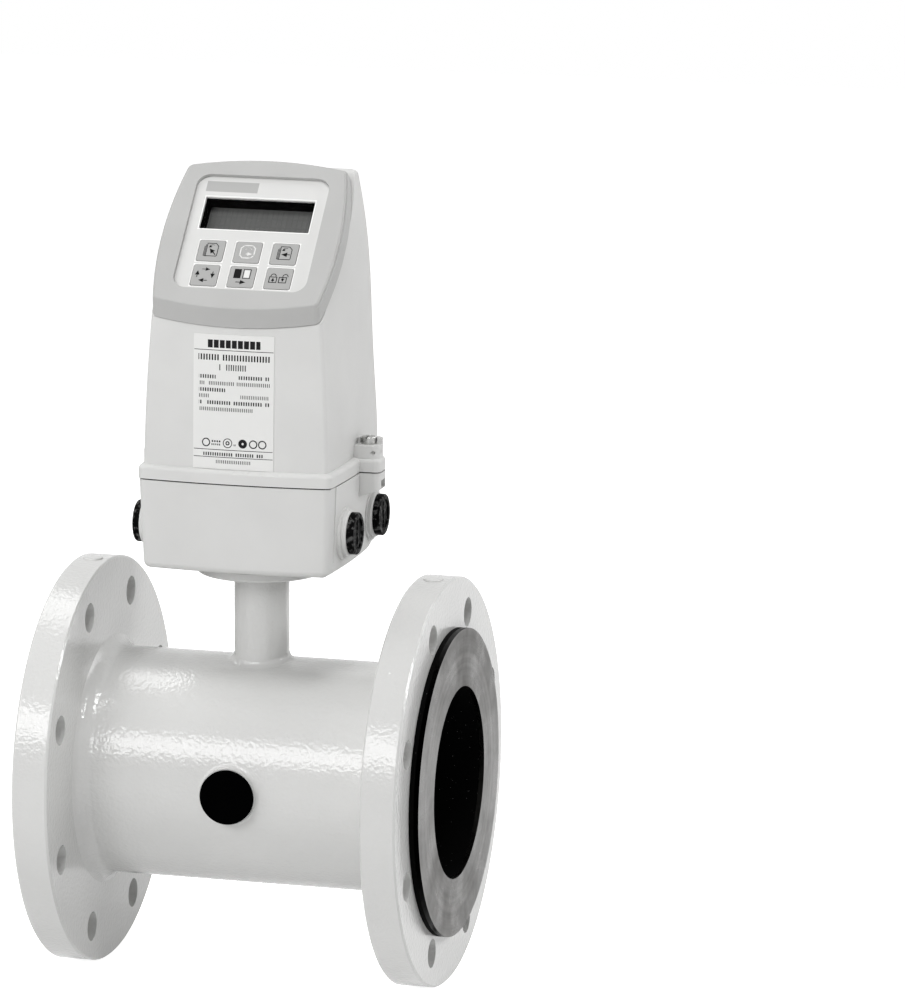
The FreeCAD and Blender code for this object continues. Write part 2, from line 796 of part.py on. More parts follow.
def cover_seal():
    """The rubber ring that shows as a dark line between the box and the cover."""
    outer_edge = seal_inset
    inner_edge = seal_inset + seal_width

    def slab(inset):
        wires = [box_wire(z, inset, 0) for z in (box_rim, cover_rim)]
        form = Part.makeLoft(wires, True, True)
        return form.makeFillet(box_corner - inset, [e for e in form.Edges if e.BoundBox.ZLength > seam_gap / 2])
    shape = slab(outer_edge)
    ear = ear_form(ear_radius - seal_inset, box_rim, cover_rim)
    for side_ear in both_sides(ear):
        shape = shape.fuse(side_ear)
    shape = shape.cut(slab(inner_edge))
    bolt = rod(cover_screw_radius + press_gap, vec(ear_reach, ear_back, seam - 1),
               vec(ear_reach, ear_back, seam + 1))
    return cut_all(shape, both_sides(bolt)).removeSplitter()


# Transmitter housing

def cover_sections(inset):
    """Level outlines of the housing: wide at the seam, barrel-sided, drawn in at the top.

    Each row gives the height above the seam, how far the widest part has drawn in, how much
    narrower the front and the back corners are, and how far the front and back have moved in.
    """
    rows = [
        (cover_base_overlap, 0.0, 0.1, 0.3, 0.0, 0.0),
        (56.0, 0.3, 1.7, 1.5, 1.8, 1.6),
        (104.0, 0.7, 4.6, 2.9, 3.8, 4.2),
        (136.0, 1.1, 6.5, 4.1, 5.3, 7.4),
        (158.0, 2.7, 6.5, 4.3, 6.3, 11.4),
        (cover_height, 5.4, 6.0, 3.1, 7.3, 17.8)]
    side = box_half_width - side_ledge - inset
    front = box_half_depth - front_ledge - inset
    rear = box_half_depth + cover_rear_overhang - inset
    wires = []
    for rise, draw_in, front_drop, rear_drop, front_in, rear_in in rows:
        height = rise if rise < cover_height else cover_height - inset
        wires.append(plan_wire(
            seam + height, side - draw_in - front_drop, side - draw_in, side - draw_in - rear_drop,
            -(front - front_in), front_bulge, rear - rear_in))
    return wires


def cover_form(inset):
    """The housing above the skirt as a solid, with round upright edges and a round top."""
    form = Part.makeLoft(cover_sections(inset), True, False)
    uprights = upright_edges(form)
    front = [e for e in uprights if e.BoundBox.YMax < 0]
    rear = [e for e in uprights if e.BoundBox.YMin > 0]
    form = form.makeFillet(max(cover_front_corner - inset, 0.5), front)
    form = form.makeFillet(cover_rear_corner - inset, rear)
    return form


def skirt_form(inset, bottom, top):
    """The band round the cover's foot, in line with the box below it."""
    half_x = box_half_width - inset
    half_y = box_half_depth - inset
    corner_x = half_x - box_corner_inset
    wires = [plan_wire(z, corner_x, half_x, corner_x, -half_y, front_bulge, half_y) for z in (bottom, top)]
    form = Part.makeLoft(wires, True, True)
    return form.makeFillet(box_corner - inset, [e for e in form.Edges if e.BoundBox.ZLength > 1])


def above_slope(depth):
    """Everything on the outer side of a plane that lies some way under the display face."""
    return on_slope(block(-beyond, beyond, -beyond, 2 * beyond, depth, beyond))


def board_post_places():
    half_x = main_board_width / 2 - board_edge
    bottom = seam + main_board_rise + board_edge
    top = bottom + main_board_height - 2 * board_edge
    return [(x, z) for x in (-half_x, half_x) for z in (bottom + board_edge, top)]


def screw_post():
    """The right screw's post, with a low wall round the back of the screw's head."""
    seat = seam + post_height
    post = ear_form(post_radius, seam + cover_base_overlap, seat)
    shield = ear_form(post_radius, seat - 1, seat + post_shield)
    shield = shield.cut(rod(cover_screw_head_radius + post_shield_gap, vec(ear_reach, ear_back, seat),
                            vec(ear_reach, ear_back, seat + beyond)))
    shield = shield.cut(block(-beyond, beyond, -beyond, ear_back, seat, seat + beyond))
    return post.fuse(shield).removeSplitter()


def transmitter_housing():
    """The upper moulding: a skirt on the seam, two screw posts and a tapered hood cut to a slope."""
    base = seam + cover_base_overlap
    hood = cover_form(0)
    hood = hood.cut(above_slope(-bezel_depth - bezel_seal_thickness))
    crown = level_edges(hood, seam + cover_height)
    slope_end = min(e.BoundBox.YMin for e in crown)
    hood = hood.makeFillet(cover_top_edge, [e for e in crown if e.BoundBox.YMin > slope_end + 0.5])
    skirt = skirt_form(0, cover_rim, skirt_top)
    ear = ear_form(ear_radius, cover_rim, skirt_top)
    for side_ear in both_sides(ear):
        skirt = skirt.fuse(side_ear)
    skirt = skirt.removeSplitter()
    skirt = skirt.makeFillet(skirt_edge, level_edges(skirt, skirt_top))
    shape = skirt.fuse(hood)
    for side_post in both_sides(screw_post()):
        shape = shape.fuse(side_post)
    shape = shape.removeSplitter()
    below = block(-beyond, beyond, -beyond, beyond, seam, base + cover_wall)
    room = cover_form(cover_wall).cut(below)
    mouth = skirt_form(box_wall, seam - 1, base + cover_wall)
    mouth = mouth.common(cover_form_mouth())
    shape = shape.cut(room).cut(mouth)
    inside_skin = cover_form(cover_wall / 2)
    for x, z in board_post_places():
        post = rod(board_post_radius, vec(x, main_board_y + board_thickness, z), vec(x, beyond, z))
        shape = shape.fuse(post.common(inside_skin))
        shape = shape.cut(rod(board_pilot_radius, vec(x, main_board_y, z),
                              vec(x, main_board_y + board_thickness + board_pilot_depth, z)))
    bolt = rod(cover_screw_radius + press_gap, vec(ear_reach, ear_back, seam - 1),
               vec(ear_reach, ear_back, seam + post_height + 1))
    shape = cut_all(shape, both_sides(bolt))
    seal_hole = rod(seal_hole_radius, vec(ear_reach + 4, ear_back - post_radius - 1, seam + post_height - 4),
                    vec(ear_reach + post_radius + 3, ear_back + 1, seam + post_height - 4))
    return cut_all(shape, both_sides(seal_hole)).removeSplitter()


def cover_form_mouth():
    """The hood's inside carried straight down through the skirt."""
    side = box_half_width - side_ledge - cover_wall
    front = box_half_depth - front_ledge - cover_wall
    rear = box_half_depth - cover_wall
    wires = [plan_wire(z, side - 0.6, side - 0.6, side - 1.0, -front, front_bulge, rear)
             for z in (seam - 1, seam + 20)]
    return Part.makeLoft(wires, True, True)


# Display head

def bezel_outline(depth, inset, front_inset):
    """The head's outline at a depth under its face: barrel sides, an arched top, a front that bows."""
    share = depth / bezel_depth
    flare = bezel_corner_flare * share - inset
    front_y = front_inset - depth * slope_sin / slope_cos + bezel_front_draft * share
    bow = front_bulge / slope_cos
    rear_y = bezel_length + bezel_top_draft * share - inset
    front_left = vec(-bezel_front_half - flare, front_y, -depth)
    front_right = vec(bezel_front_half + flare, front_y, -depth)
    rear_left = vec(-bezel_rear_half - flare, rear_y, -depth)
    rear_right = vec(bezel_rear_half + flare, rear_y, -depth)
    middle = (front_y + rear_y) / 2
    side = bezel_side_half + bezel_side_flare * share - inset
    return Part.Wire([
        Part.Arc(front_left, vec(0, front_y - bow, -depth), front_right).toShape(),
        Part.Arc(front_right, vec(side, middle, -depth), rear_right).toShape(),
        Part.Arc(rear_right, vec(0, rear_y + bezel_top_arch, -depth), rear_left).toShape(),
        Part.Arc(rear_left, vec(-side, middle, -depth), front_left).toShape()])


def bezel_form(low, inset, front_inset):
    """The head's frame as a solid, from its face down to a depth, still lying flat."""
    form = Part.makeLoft([bezel_outline(depth, inset, front_inset) for depth in (low, 0)], True, True)
    uprights = upright_edges(form)
    front = [e for e in uprights if e.BoundBox.YMax < bezel_length / 2]
    rear = [e for e in uprights if e.BoundBox.YMin > bezel_length / 2]
    form = form.makeFillet(bezel_front_corner, front)
    return form.makeFillet(bezel_rear_corner, rear)


def panel_plate(grow, top, bottom):
    return slope_plate(panel_width + 2 * grow, panel_length + 2 * grow, panel_corner + grow,
                       panel_start - grow, top, bottom)


def board_screw_places():
    half_x = display_board_width / 2 - board_edge
    middle = panel_start + panel_length / 2
    half_y = display_board_length / 2 - board_edge
    return [(x, middle + y) for x in (-half_x, half_x) for y in (-half_y, half_y)]


def bezel():
    """The frame round the display: a thick moulding with a stepped opening and four board posts."""
    form = bezel_form(bezel_depth, 0, 0)
    form = form.makeFillet(bezel_edge, level_edges(form, 0))
    foot = block(-beyond, beyond, -beyond, beyond, -bezel_depth, -bezel_lip_below_face)
    form = form.fuse(bezel_form(bezel_depth, -bezel_lip, bezel_lip_front_inset).common(foot))
    form = form.cut(panel_plate(press_gap, 1, panel_back))
    form = form.cut(panel_plate(-bezel_ledge, 1, -bezel_depth - 1))
    for x, y in board_screw_places():
        post = rod(display_post_radius, vec(x, y, display_board_top), vec(x, y, panel_back))
        rib_start, rib_end = sorted((x, math.copysign(bezel_front_half - bezel_ledge, x)))
        rib = block(rib_start, rib_end, y - display_post_rib / 2, y + display_post_rib / 2,
                    -bezel_depth, panel_back)
        form = form.fuse(post).fuse(rib)
        form = form.cut(rod(board_pilot_radius, vec(x, y, display_board_top - 1),
                            vec(x, y, display_board_top + board_pilot_depth)))
    return on_slope(form.removeSplitter())


def bezel_seal():
    """A thin rubber ring between the head and the hood's sloping rim."""
    low = bezel_depth + bezel_seal_thickness
    inner_inset = bezel_seal_inset + bezel_seal_width
    outside = bezel_form(low, bezel_seal_inset, bezel_seal_inset)
    inside = bezel_form(low + 1, inner_inset, inner_inset)
    slice_between = block(-beyond, beyond, -beyond, beyond, -low, -bezel_depth)
    return on_slope(outside.cut(inside).common(slice_between))


def key_places():
    """The middle of each key: across, and up the slope. The top row comes first."""
    places = []
    for row in reversed(range(key_rows)):
        for column in range(key_columns):
            across = (column - (key_columns - 1) / 2) * key_pitch_across
            along = key_row_start + key_length / 2 + row * key_pitch_along
            places.append((across, along))
    return places


def key_block(width, length, corner, across, along, top, bottom):
    shape = rounded_plate(width / 2, length / 2, corner, bottom, top)
    shape.translate(vec(across, along, 0))
    return shape


def keypad_panel():
    """The front plate, with openings for the keys and the display."""
    plate = panel_plate(0, panel_surface, panel_back)
    for across, along in key_places():
        plate = plate.cut(key_block(key_width + 2 * slide_gap, key_length + 2 * slide_gap,
                                    key_corner + slide_gap, across, along, 1, panel_back - 1))
    window = slope_plate(window_width + 2 * press_gap, window_length + 2 * press_gap, 0.6,
                         window_start - press_gap, 1, panel_back - 1)
    return on_slope(plate.cut(window))


def key(across, along):
    """A key cap with a lip that keeps it behind the panel, and a stem down to its switch."""
    lip_top = panel_back - press_gap
    lip_bottom = lip_top - key_lip_thickness
    cap = key_block(key_width, key_length, key_corner, across, along, panel_surface + key_proud, lip_bottom)
    cap = cap.makeFillet(key_edge, level_edges(cap, panel_surface + key_proud))
    lip = key_block(key_width + 2 * key_lip, key_length + 2 * key_lip, key_corner + key_lip,
                    across, along, lip_top, lip_bottom)
    stem = rod(key_stem_radius, vec(across, along, lip_bottom + 0.2), vec(across, along, key_stem_tip()))
    return on_slope(cap.fuse(lip).fuse(stem).removeSplitter())


def key_stem_tip():
    """The stem stops above its switch by the key's travel and a running gap."""
    return display_board_top + switch_height + key_travel + slide_gap


def key_switches():
    """Six small push switches on the display board."""
    half = switch_size / 2
    top = display_board_top + switch_height
    parts = []
    for across, along in key_places():
        body = block(across - half, across + half, along - half, along + half,
                     display_board_top, top - switch_dot_height)
        dot = rod(switch_dot_radius, vec(across, along, display_board_top + 1), vec(across, along, top))
        parts.append(on_slope(body.fuse(dot).removeSplitter()))
    return Part.makeCompound(parts)


def display_window():
    """The clear pane in the panel, resting on the display's frame."""
    top = panel_surface - window_drop
    return on_slope(slope_plate(window_width, window_length, 0.5, window_start, top, panel_back))


def display_frame():
    """The black tunnel between the pane and the display."""
    wall = display_frame_wall
    outside = slope_plate(window_width + 2 * wall, window_length + 2 * wall, wall / 2, window_start - wall,
                          panel_back, display_surface)
    inset = display_frame_inset
    inside = slope_plate(window_width - 2 * inset, window_length - 2 * inset, inset / 2,
                         window_start + inset, 1, display_surface - 1)
    return on_slope(outside.cut(inside))


def display_module():
    """The liquid-crystal display on its board."""
    wall = display_frame_wall
    return on_slope(slope_plate(window_width + 2 * wall, window_length + 2 * wall, wall / 2,
                                window_start - wall, display_surface, display_board_top))


def display_board():
    middle = panel_start + panel_length / 2
    board = slope_plate(display_board_width, display_board_length, 2.0,
                        middle - display_board_length / 2, display_board_top,
                        display_board_top - board_thickness)
    for x, y in board_screw_places():
        board = board.cut(rod(board_hole_radius, vec(x, y, display_board_top - 5),
                              vec(x, y, display_board_top + 1)))
    return on_slope(board)


def pan_screw(radius, head_radius, head_height, length):
    """A small screw that stands on its tip: its head sits above Z=0 and its shank below."""
    head = rod(head_radius, origin, vec(0, 0, head_height))
    head = head.makeChamfer(head_height / 3, level_edges(head, head_height))
    return head.fuse(rod(radius, vec(0, 0, -length), vec(0, 0, head_height / 3))).removeSplitter()


def placed(shape, place, direction):
    """Turn a shape drawn along Z to point another way, and carry it to its place."""
    turn = FreeCAD.Rotation(z_axis, direction)
    moved = shape.copy()
    moved.Placement = FreeCAD.Placement(place, turn)
    return moved


def board_screw(place, direction):
    """The small screw that holds every board, with its head on the side it is driven from."""
    screw = pan_screw(board_screw_radius, board_screw_head_radius, board_screw_head_height,
                      board_screw_length)
    return placed(screw, place, direction)


def display_board_screws():
    underside = display_board_top - board_thickness
    return Part.makeCompound([on_slope(board_screw(vec(x, y, underside), -z_axis))
                              for x, y in board_screw_places()])


def rating_plate():
    """The thin blank label on the hood's front, bent to its curve."""
    bottom = skirt_top + label_above_skirt
    outline = block(-label_half_width, label_half_width, -beyond, 0, bottom, bottom + label_height)
    backing = press_gap / 2
    return cover_form(-label_thickness - backing).common(outline).cut(cover_form(-backing))


def cover_screw():
    """A slotted cheese-head screw down through the post into the box's ear."""
    seat = seam + post_height
    head = rod(cover_screw_head_radius, origin, vec(0, 0, cover_screw_head_height))
    head = head.makeFillet(cover_screw_edge, level_edges(head, cover_screw_head_height))
    shape = head.fuse(rod(cover_screw_radius, vec(0, 0, -cover_screw_length), vec(0, 0, 1))).removeSplitter()
    slot = block(-screw_slot_width / 2, screw_slot_width / 2, -ear_radius, ear_radius,
                 cover_screw_head_height - screw_slot_depth, cover_screw_head_height + 1)
    shape = shape.cut(slot)
    shape.translate(vec(ear_reach, ear_back, seat))
    return shape


# Electronics

def terminal_board():
    bottom = lead_top()
    board = rounded_plate(terminal_board_width / 2, terminal_board_depth / 2, 3.0,
                          bottom, bottom + board_thickness)
    for x, y in terminal_board_posts():
        board = board.cut(rod(board_hole_radius, vec(x, y, bottom - 1), vec(x, y, bottom + 5)))
    return board


def terminal_board_screws():
    top = lead_top() + board_thickness
    return Part.makeCompound([board_screw(vec(x, y, top), z_axis) for x, y in terminal_board_posts()])


def terminal_strip(place, ways, along_x):
    """A row of screw clamps: a block with a wire mouth and a screw well for each way."""
    base = lead_top() + board_thickness
    top = base + strip_height
    length = strip_pitch * ways
    front = -strip_depth / 2
    body = block(-length / 2, length / 2, front, strip_depth / 2, base, top)
    step = block(-length, length, front - 1, front + strip_ledge_depth, top - strip_ledge_drop, top + 1)
    body = body.cut(step)
    mouth_bottom = base + strip_mouth_rise
    for way in range(ways):
        middle = -length / 2 + strip_pitch * (way + 0.5)
        mouth = block(middle - strip_mouth / 2, middle + strip_mouth / 2, front - 1, -1,
                      mouth_bottom, mouth_bottom + strip_mouth_height)
        well = rod(strip_mouth / 2, vec(middle, strip_well_y, top - strip_well_depth),
                   vec(middle, strip_well_y, top + 1))
        body = body.cut(mouth).cut(well)
    if not along_x:
        body.rotate(origin, z_axis, 90)
    body.translate(vec(place[0], place[1], 0))
    return body


def board_connector():
    """The tall socket that the transmitter's board plugs into."""
    base = lead_top() + board_thickness
    top = seam + main_board_rise + board_edge
    half = connector_half_width
    behind = main_board_y + board_thickness
    body = block(-half, half, main_board_y - connector_wall, behind + connector_wall, base, top)
    slot_half = main_board_tongue_half + slide_gap
    slot = block(-slot_half, slot_half, main_board_y - press_gap, behind + press_gap,
                 top - connector_slot_depth, top + 1)
    return body.cut(slot)


def memory_module():
    """The small plug-in block that keeps the sensor's calibration."""
    base = lead_top() + board_thickness
    body = block(-memory_width / 2, memory_width / 2, memory_y - memory_depth / 2,
                 memory_y + memory_depth / 2, base, base + memory_height)
    return body.makeFillet(1.0, [e for e in body.Edges if e.BoundBox.ZMin > base + 1])


def earth_screw_place():
    """On the box's floor, clear of the neck's seat."""
    return vec(-neck_gasket_radius - earth_screw_head_radius, memory_y, box_bottom + box_wall)


def earth_screw():
    """The protective earth's screw, in a blind hole in the box's floor."""
    screw = pan_screw(earth_screw_radius, earth_screw_head_radius, earth_screw_head_height, box_wall - 1)
    return placed(screw, earth_screw_place(), z_axis)


def main_board():
    """The transmitter's board, standing behind its parts, with a tongue into the socket below."""
    half = main_board_width / 2
    bottom = seam + main_board_rise + board_edge
    behind = main_board_y + board_thickness
    board = block(-half, half, main_board_y, behind, bottom, bottom + main_board_height - board_edge)
    tongue_half = main_board_tongue_half
    tongue = block(-tongue_half, tongue_half, main_board_y, behind, bottom - main_board_tongue, bottom + 1)
    board = board.fuse(tongue).removeSplitter()
    for x, z in board_post_places():
        board = board.cut(rod(board_hole_radius, vec(x, main_board_y - 1, z), vec(x, behind + 1, z)))
    return board


def main_board_screws():
    return Part.makeCompound([board_screw(vec(x, main_board_y, z), -y_axis)
                              for x, z in board_post_places()])


def transformer():
    """The mains transformer's core: a block with two windows, one on each side of its middle limb."""
    left = transformer_left
    right = left + transformer_width
    bottom = seam + main_board_rise + transformer_rise
    top = bottom + transformer_height
    front = main_board_y - transformer_depth
    limb = transformer_limb
    core = block(left, right, front, main_board_y, bottom, top)
    for start in (left + limb, right - limb - transformer_window):
        core = core.cut(block(start, start + transformer_window, front - 1, main_board_y + 1,
                              bottom + limb, top - limb))
    return core


def transformer_winding():
    """The wound bobbin on the core's middle limb. It fills both windows."""
    gap = press_gap
    left = transformer_left + transformer_limb
    right = transformer_left + transformer_width - transformer_limb
    bottom = seam + main_board_rise + transformer_rise + transformer_limb
    top = bottom + transformer_height - 2 * transformer_limb
    front = main_board_y - transformer_depth
    body = block(left + gap, right - gap, front - winding_proud, main_board_y - gap, bottom + gap, top - gap)
    return body.cut(block(left + transformer_window - gap, right - transformer_window + gap,
                          front - gap, main_board_y, bottom, top))


def capacitors():
    """Two smoothing capacitors that lie across the board's front."""
    front = main_board_y - capacitor_height
    base = seam + main_board_rise
    return Part.makeCompound([rod(capacitor_radius, vec(capacitor_x, front, base + rise),
                                  vec(capacitor_x, main_board_y, base + rise)) for rise in capacitor_rises])


def main():
    os.makedirs("parts", exist_ok=True)
    nodes = {
        "measuring_tube": measuring_tube(),
        "liner": liner(),
        "inlet_flange": flange(-1),
        "outlet_flange": flange(1),
        "inlet_rim_plug": rim_plug(-1),
        "outlet_rim_plug": rim_plug(1),
        "inlet_earth_ring": earth_ring(-1),
        "outlet_earth_ring": earth_ring(1),
        "coil_housing": coil_housing(),
        "upper_coil": coil(True),
        "lower_coil": coil(False),
        "upper_pole_shoe": pole_shoe(True),
        "lower_pole_shoe": pole_shoe(False),
        "return_band": return_band(),
        "electrodes": Part.makeCompound([electrode(-1), electrode(1)]),
        "electrode_bushes": Part.makeCompound([electrode_bush(-1), electrode_bush(1)]),
        "electrode_nuts": Part.makeCompound([electrode_nut(-1), electrode_nut(1)]),
        "electrode_leads": Part.makeCompound([electrode_lead(-1), electrode_lead(1)]),
        "coil_lead_bundle": lead_bundle(),
        "front_access_plug": access_plug(-1),
        "rear_access_plug": access_plug(1),
        "neck_tube": neck_tube(),
        "neck_plate": neck_plate(),
        "neck_gasket": neck_gasket(),
        "neck_screws": neck_screws(),
        "terminal_box": terminal_box(),
        "cover_seal": cover_seal(),
        "transmitter_housing": transmitter_housing(),
        "right_cover_screw": cover_screw(),
        "left_cover_screw": mirrored(cover_screw()),
        "rating_plate": rating_plate(),
        "bezel": bezel(),
        "bezel_seal": bezel_seal(),
        "keypad_panel": keypad_panel(),
        "display_window": display_window(),
        "display_frame": display_frame(),
        "display_module": display_module(),
        "display_board": display_board(),
        "display_board_screws": display_board_screws(),
        "key_switches": key_switches(),
        "terminal_board": terminal_board(),
        "terminal_board_screws": terminal_board_screws(),
        "supply_terminals": terminal_strip(supply_strip_place, 6, True),
        "output_terminals": terminal_strip(output_strip_place, 7, True),
        "sensor_terminals": terminal_strip(sensor_strip_place, 6, False),
        "board_connector": board_connector(),
        "memory_module": memory_module(),
        "earth_screw": earth_screw(),
        "main_board": main_board(),
        "main_board_screws": main_board_screws(),
        "transformer_core": transformer(),
        "transformer_winding": transformer_winding(),
        "capacitors": capacitors(),
    }
    nodes["entry_plugs"] = Part.makeCompound([entry_plug(side, y) for side, y in entry_places()])
    for (across, along), name in zip(key_places(), key_names):
        nodes[name] = key(across, along)
    for name, shape in nodes.items():
        save(name, shape)
    print("wrote", len(nodes), "nodes")


main()
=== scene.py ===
# %% [markdown]
# # An electromagnetic flow meter and its finishes
#
# The real meter is two things joined by a short neck: a heavy steel pipe with a lining and a thick
# glossy coat of paint, and a light plastic transmitter with a display. The solid model gives every
# piece its shape and place. This lesson gives each of them the finish that the real one has, adds
# the thin things that are printed or cut into a surface, and lights the result like a plain studio.
#
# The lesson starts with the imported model, because everything else is measured from it.

# %% Load the solid model
import json
import math
import bmesh
import bpy
from mathutils import Matrix, Vector


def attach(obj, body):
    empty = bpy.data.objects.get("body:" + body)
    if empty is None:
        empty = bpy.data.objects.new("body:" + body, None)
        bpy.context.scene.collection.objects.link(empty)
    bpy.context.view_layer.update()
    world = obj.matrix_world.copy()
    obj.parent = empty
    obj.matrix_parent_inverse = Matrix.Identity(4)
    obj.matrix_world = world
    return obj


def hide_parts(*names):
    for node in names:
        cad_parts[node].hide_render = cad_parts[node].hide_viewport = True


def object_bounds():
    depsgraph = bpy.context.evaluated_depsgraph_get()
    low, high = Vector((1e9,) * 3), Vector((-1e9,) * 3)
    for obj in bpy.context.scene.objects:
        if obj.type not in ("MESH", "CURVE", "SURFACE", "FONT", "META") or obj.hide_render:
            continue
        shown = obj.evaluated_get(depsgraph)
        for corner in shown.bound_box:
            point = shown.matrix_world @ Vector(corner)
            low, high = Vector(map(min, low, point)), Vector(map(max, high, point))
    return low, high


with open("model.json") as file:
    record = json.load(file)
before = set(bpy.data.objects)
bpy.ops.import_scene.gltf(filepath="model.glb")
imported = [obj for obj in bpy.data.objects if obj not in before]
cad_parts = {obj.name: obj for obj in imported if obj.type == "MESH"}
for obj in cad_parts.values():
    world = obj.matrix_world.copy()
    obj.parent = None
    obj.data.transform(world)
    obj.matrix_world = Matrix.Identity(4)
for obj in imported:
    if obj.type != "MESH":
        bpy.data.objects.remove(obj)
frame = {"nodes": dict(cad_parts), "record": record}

cad_low, cad_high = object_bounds()
print("solid model", [round(v, 4) for v in cad_high - cad_low], "m,", len(frame["nodes"]), "pieces")

# %% [markdown]
# ## Units and the sloping face
#
# Blender works in metres, but a meter like this is drawn in millimetres, so one short name turns
# one into the other. The display sits on a slope. A thing on it could be placed by hand in world
# coordinates and turned, but it is easier to draw it flat, with X across and Y up the slope, and to
# carry it there with one matrix. The matrix's columns are the slope's own three directions.

# %% Millimetres, and the matrix of the sloping face
mm = 0.001
slope_angle = math.radians(46)
slope_front = Vector((0, -54.8, 299.7)) * mm
up_slope = Vector((0, math.cos(slope_angle), math.sin(slope_angle)))
off_slope = Vector((0, -math.sin(slope_angle), math.cos(slope_angle)))
to_slope = Matrix.Translation(slope_front) @ Matrix((
    (1, 0, 0, 0),
    (0, up_slope.y, off_slope.y, 0),
    (0, up_slope.z, off_slope.z, 0),
    (0, 0, 0, 1)))
print("the face leans back by", round(90 - math.degrees(slope_angle)), "degrees from upright")

# %% [markdown]
# ## Camera
#
# The photograph was taken from a little to the right and a little above, with a long lens from
# several metres away, which keeps parallel edges almost parallel. The camera stands on a sphere
# round the meter: two angles give its direction, a distance gives the lens its job, and a small
# sideways and upward step puts the meter at the left of the picture, as in the photograph. The
# slight roll is the tilt of the hand-held frame. Depth of field stays off.

# %% Place the camera
camera_turn = math.radians(15.049)
camera_rise = math.radians(11.757)
camera_roll = math.radians(0.273)
camera_distance = 3670.59 * mm
camera_step_right = 115.68 * mm
camera_step_up = 164.78 * mm
camera_lens = 215.77

backward = Vector((math.sin(camera_turn) * math.cos(camera_rise),
                   -math.cos(camera_turn) * math.cos(camera_rise), math.sin(camera_rise)))
level_right = Vector((math.cos(camera_turn), math.sin(camera_turn), 0))
level_up = backward.cross(level_right)
right = level_right * math.cos(camera_roll) + level_up * math.sin(camera_roll)
up = level_up * math.cos(camera_roll) - level_right * math.sin(camera_roll)

camera_data = bpy.data.cameras.new("camera")
camera_data.sensor_width = 36
camera_data.lens = camera_lens
camera_data.clip_end = 50
camera = bpy.data.objects.new("camera", camera_data)
bpy.context.scene.collection.objects.link(camera)
place = level_right * camera_step_right + level_up * camera_step_up + backward * camera_distance
turn = Matrix((right, up, backward)).transposed()
camera.matrix_world = Matrix.Translation(place) @ turn.to_4x4()
bpy.context.scene.camera = camera
print("camera at", [round(v, 3) for v in place])

# %% [markdown]
# ## Nodes, in a few short helpers
#
# A finish is a small graph of nodes that ends in one Principled shader. The graph could be clicked
# together in the editor. Here four helpers do the same: one starts a finish, one adds a node and
# sets its values, one joins two sockets, and one gives the point on the object that is being
# shaded. Patterns read that point in the object's own coordinates, in metres, so a scale of 400
# means features of about one four-hundredth of a metre, and a pattern stays put when a key moves.

# %% Helpers for finishes
def new_finish(name, colour, roughness, metallic=0.0):
    finish = bpy.data.materials.new(name)
    finish.use_nodes = True
    shader = finish.node_tree.nodes["Principled BSDF"]
    shader.inputs["Base Color"].default_value = (*colour, 1)
    shader.inputs["Roughness"].default_value = roughness
    shader.inputs["Metallic"].default_value = metallic
    finish.diffuse_color = (*colour, 1)
    return finish


def shader_of(finish):
    return finish.node_tree.nodes["Principled BSDF"]


def add_node(finish, kind, values=None, **settings):
    node = finish.node_tree.nodes.new("ShaderNode" + kind)
    for name, value in settings.items():
        setattr(node, name, value)
    for socket, value in (values or {}).items():
        node.inputs[socket].default_value = value
    return node


def join(finish, output, socket):
    finish.node_tree.links.new(output, socket)


def here(finish):
    """The shaded point in the object's own coordinates."""
    return add_node(finish, "TexCoord").outputs["Object"]


# %% [markdown]
# ## Patterns that many finishes share
#
# Paint, moulded plastic and rubber differ mostly in the size and depth of their grain. One helper
# makes a noise pattern, one turns a pattern into a slight relief with a Bump node, whose distance
# is the real depth, and one turns a pattern into a colour between two limits. Another lays a print
# or a stain over the colour so far. The last ones do small sums and measure distances, for
# patterns that are cut from lines and rings.

# %% Noise, relief, colour and sums
def noise(finish, scale, detail=2.0, softness=0.5, at=None):
    node = add_node(finish, "TexNoise", {"Scale": scale, "Detail": detail, "Roughness": softness})
    join(finish, at or here(finish), node.inputs["Vector"])
    return node.outputs[0]


def relief(finish, height, depth, strength=1.0, under=None):
    node = add_node(finish, "Bump", {"Strength": strength, "Distance": depth})
    join(finish, height, node.inputs["Height"])
    if under:
        join(finish, under, node.inputs["Normal"])
    join(finish, node.outputs["Normal"], shader_of(finish).inputs["Normal"])
    return node.outputs["Normal"]


def between(finish, pattern, low_colour, high_colour, start=0.0, end=1.0):
    node = add_node(finish, "ValToRGB")
    node.color_ramp.elements[0].position = start
    node.color_ramp.elements[1].position = end
    node.color_ramp.elements[0].color = (*low_colour, 1)
    node.color_ramp.elements[1].color = (*high_colour, 1)
    join(finish, pattern, node.inputs["Fac"])
    return node.outputs["Color"]


def paint_with(finish, colour_output):
    join(finish, colour_output, shader_of(finish).inputs["Base Color"])


def print_over(finish, mask, colour):
    """Lay another colour, such as a print or a stain, over the one that the finish has so far."""
    socket = shader_of(finish).inputs["Base Color"]
    under = socket.links[0].from_socket
    mixed = add_node(finish, "MixRGB")
    mixed.inputs["Color2"].default_value = (*colour, 1)
    join(finish, mask, mixed.inputs["Fac"])
    join(finish, under, mixed.inputs["Color1"])
    join(finish, mixed.outputs["Color"], socket)


def vary_roughness(finish, pattern, low, high, start=0.0, end=1.0):
    node = add_node(finish, "MapRange", {"From Min": start, "From Max": end,
                                         "To Min": low, "To Max": high})
    join(finish, pattern, node.inputs["Value"])
    join(finish, node.outputs["Result"], shader_of(finish).inputs["Roughness"])


def sum_of(finish, operation, first, second=None):
    """One Math node. A value may be a socket or a plain number."""
    node = add_node(finish, "Math", operation=operation)
    for socket, value in zip(node.inputs, (first, second)):
        if isinstance(value, (int, float)):
            socket.default_value = value
        elif value is not None:
            join(finish, value, socket)
    return node.outputs[0]


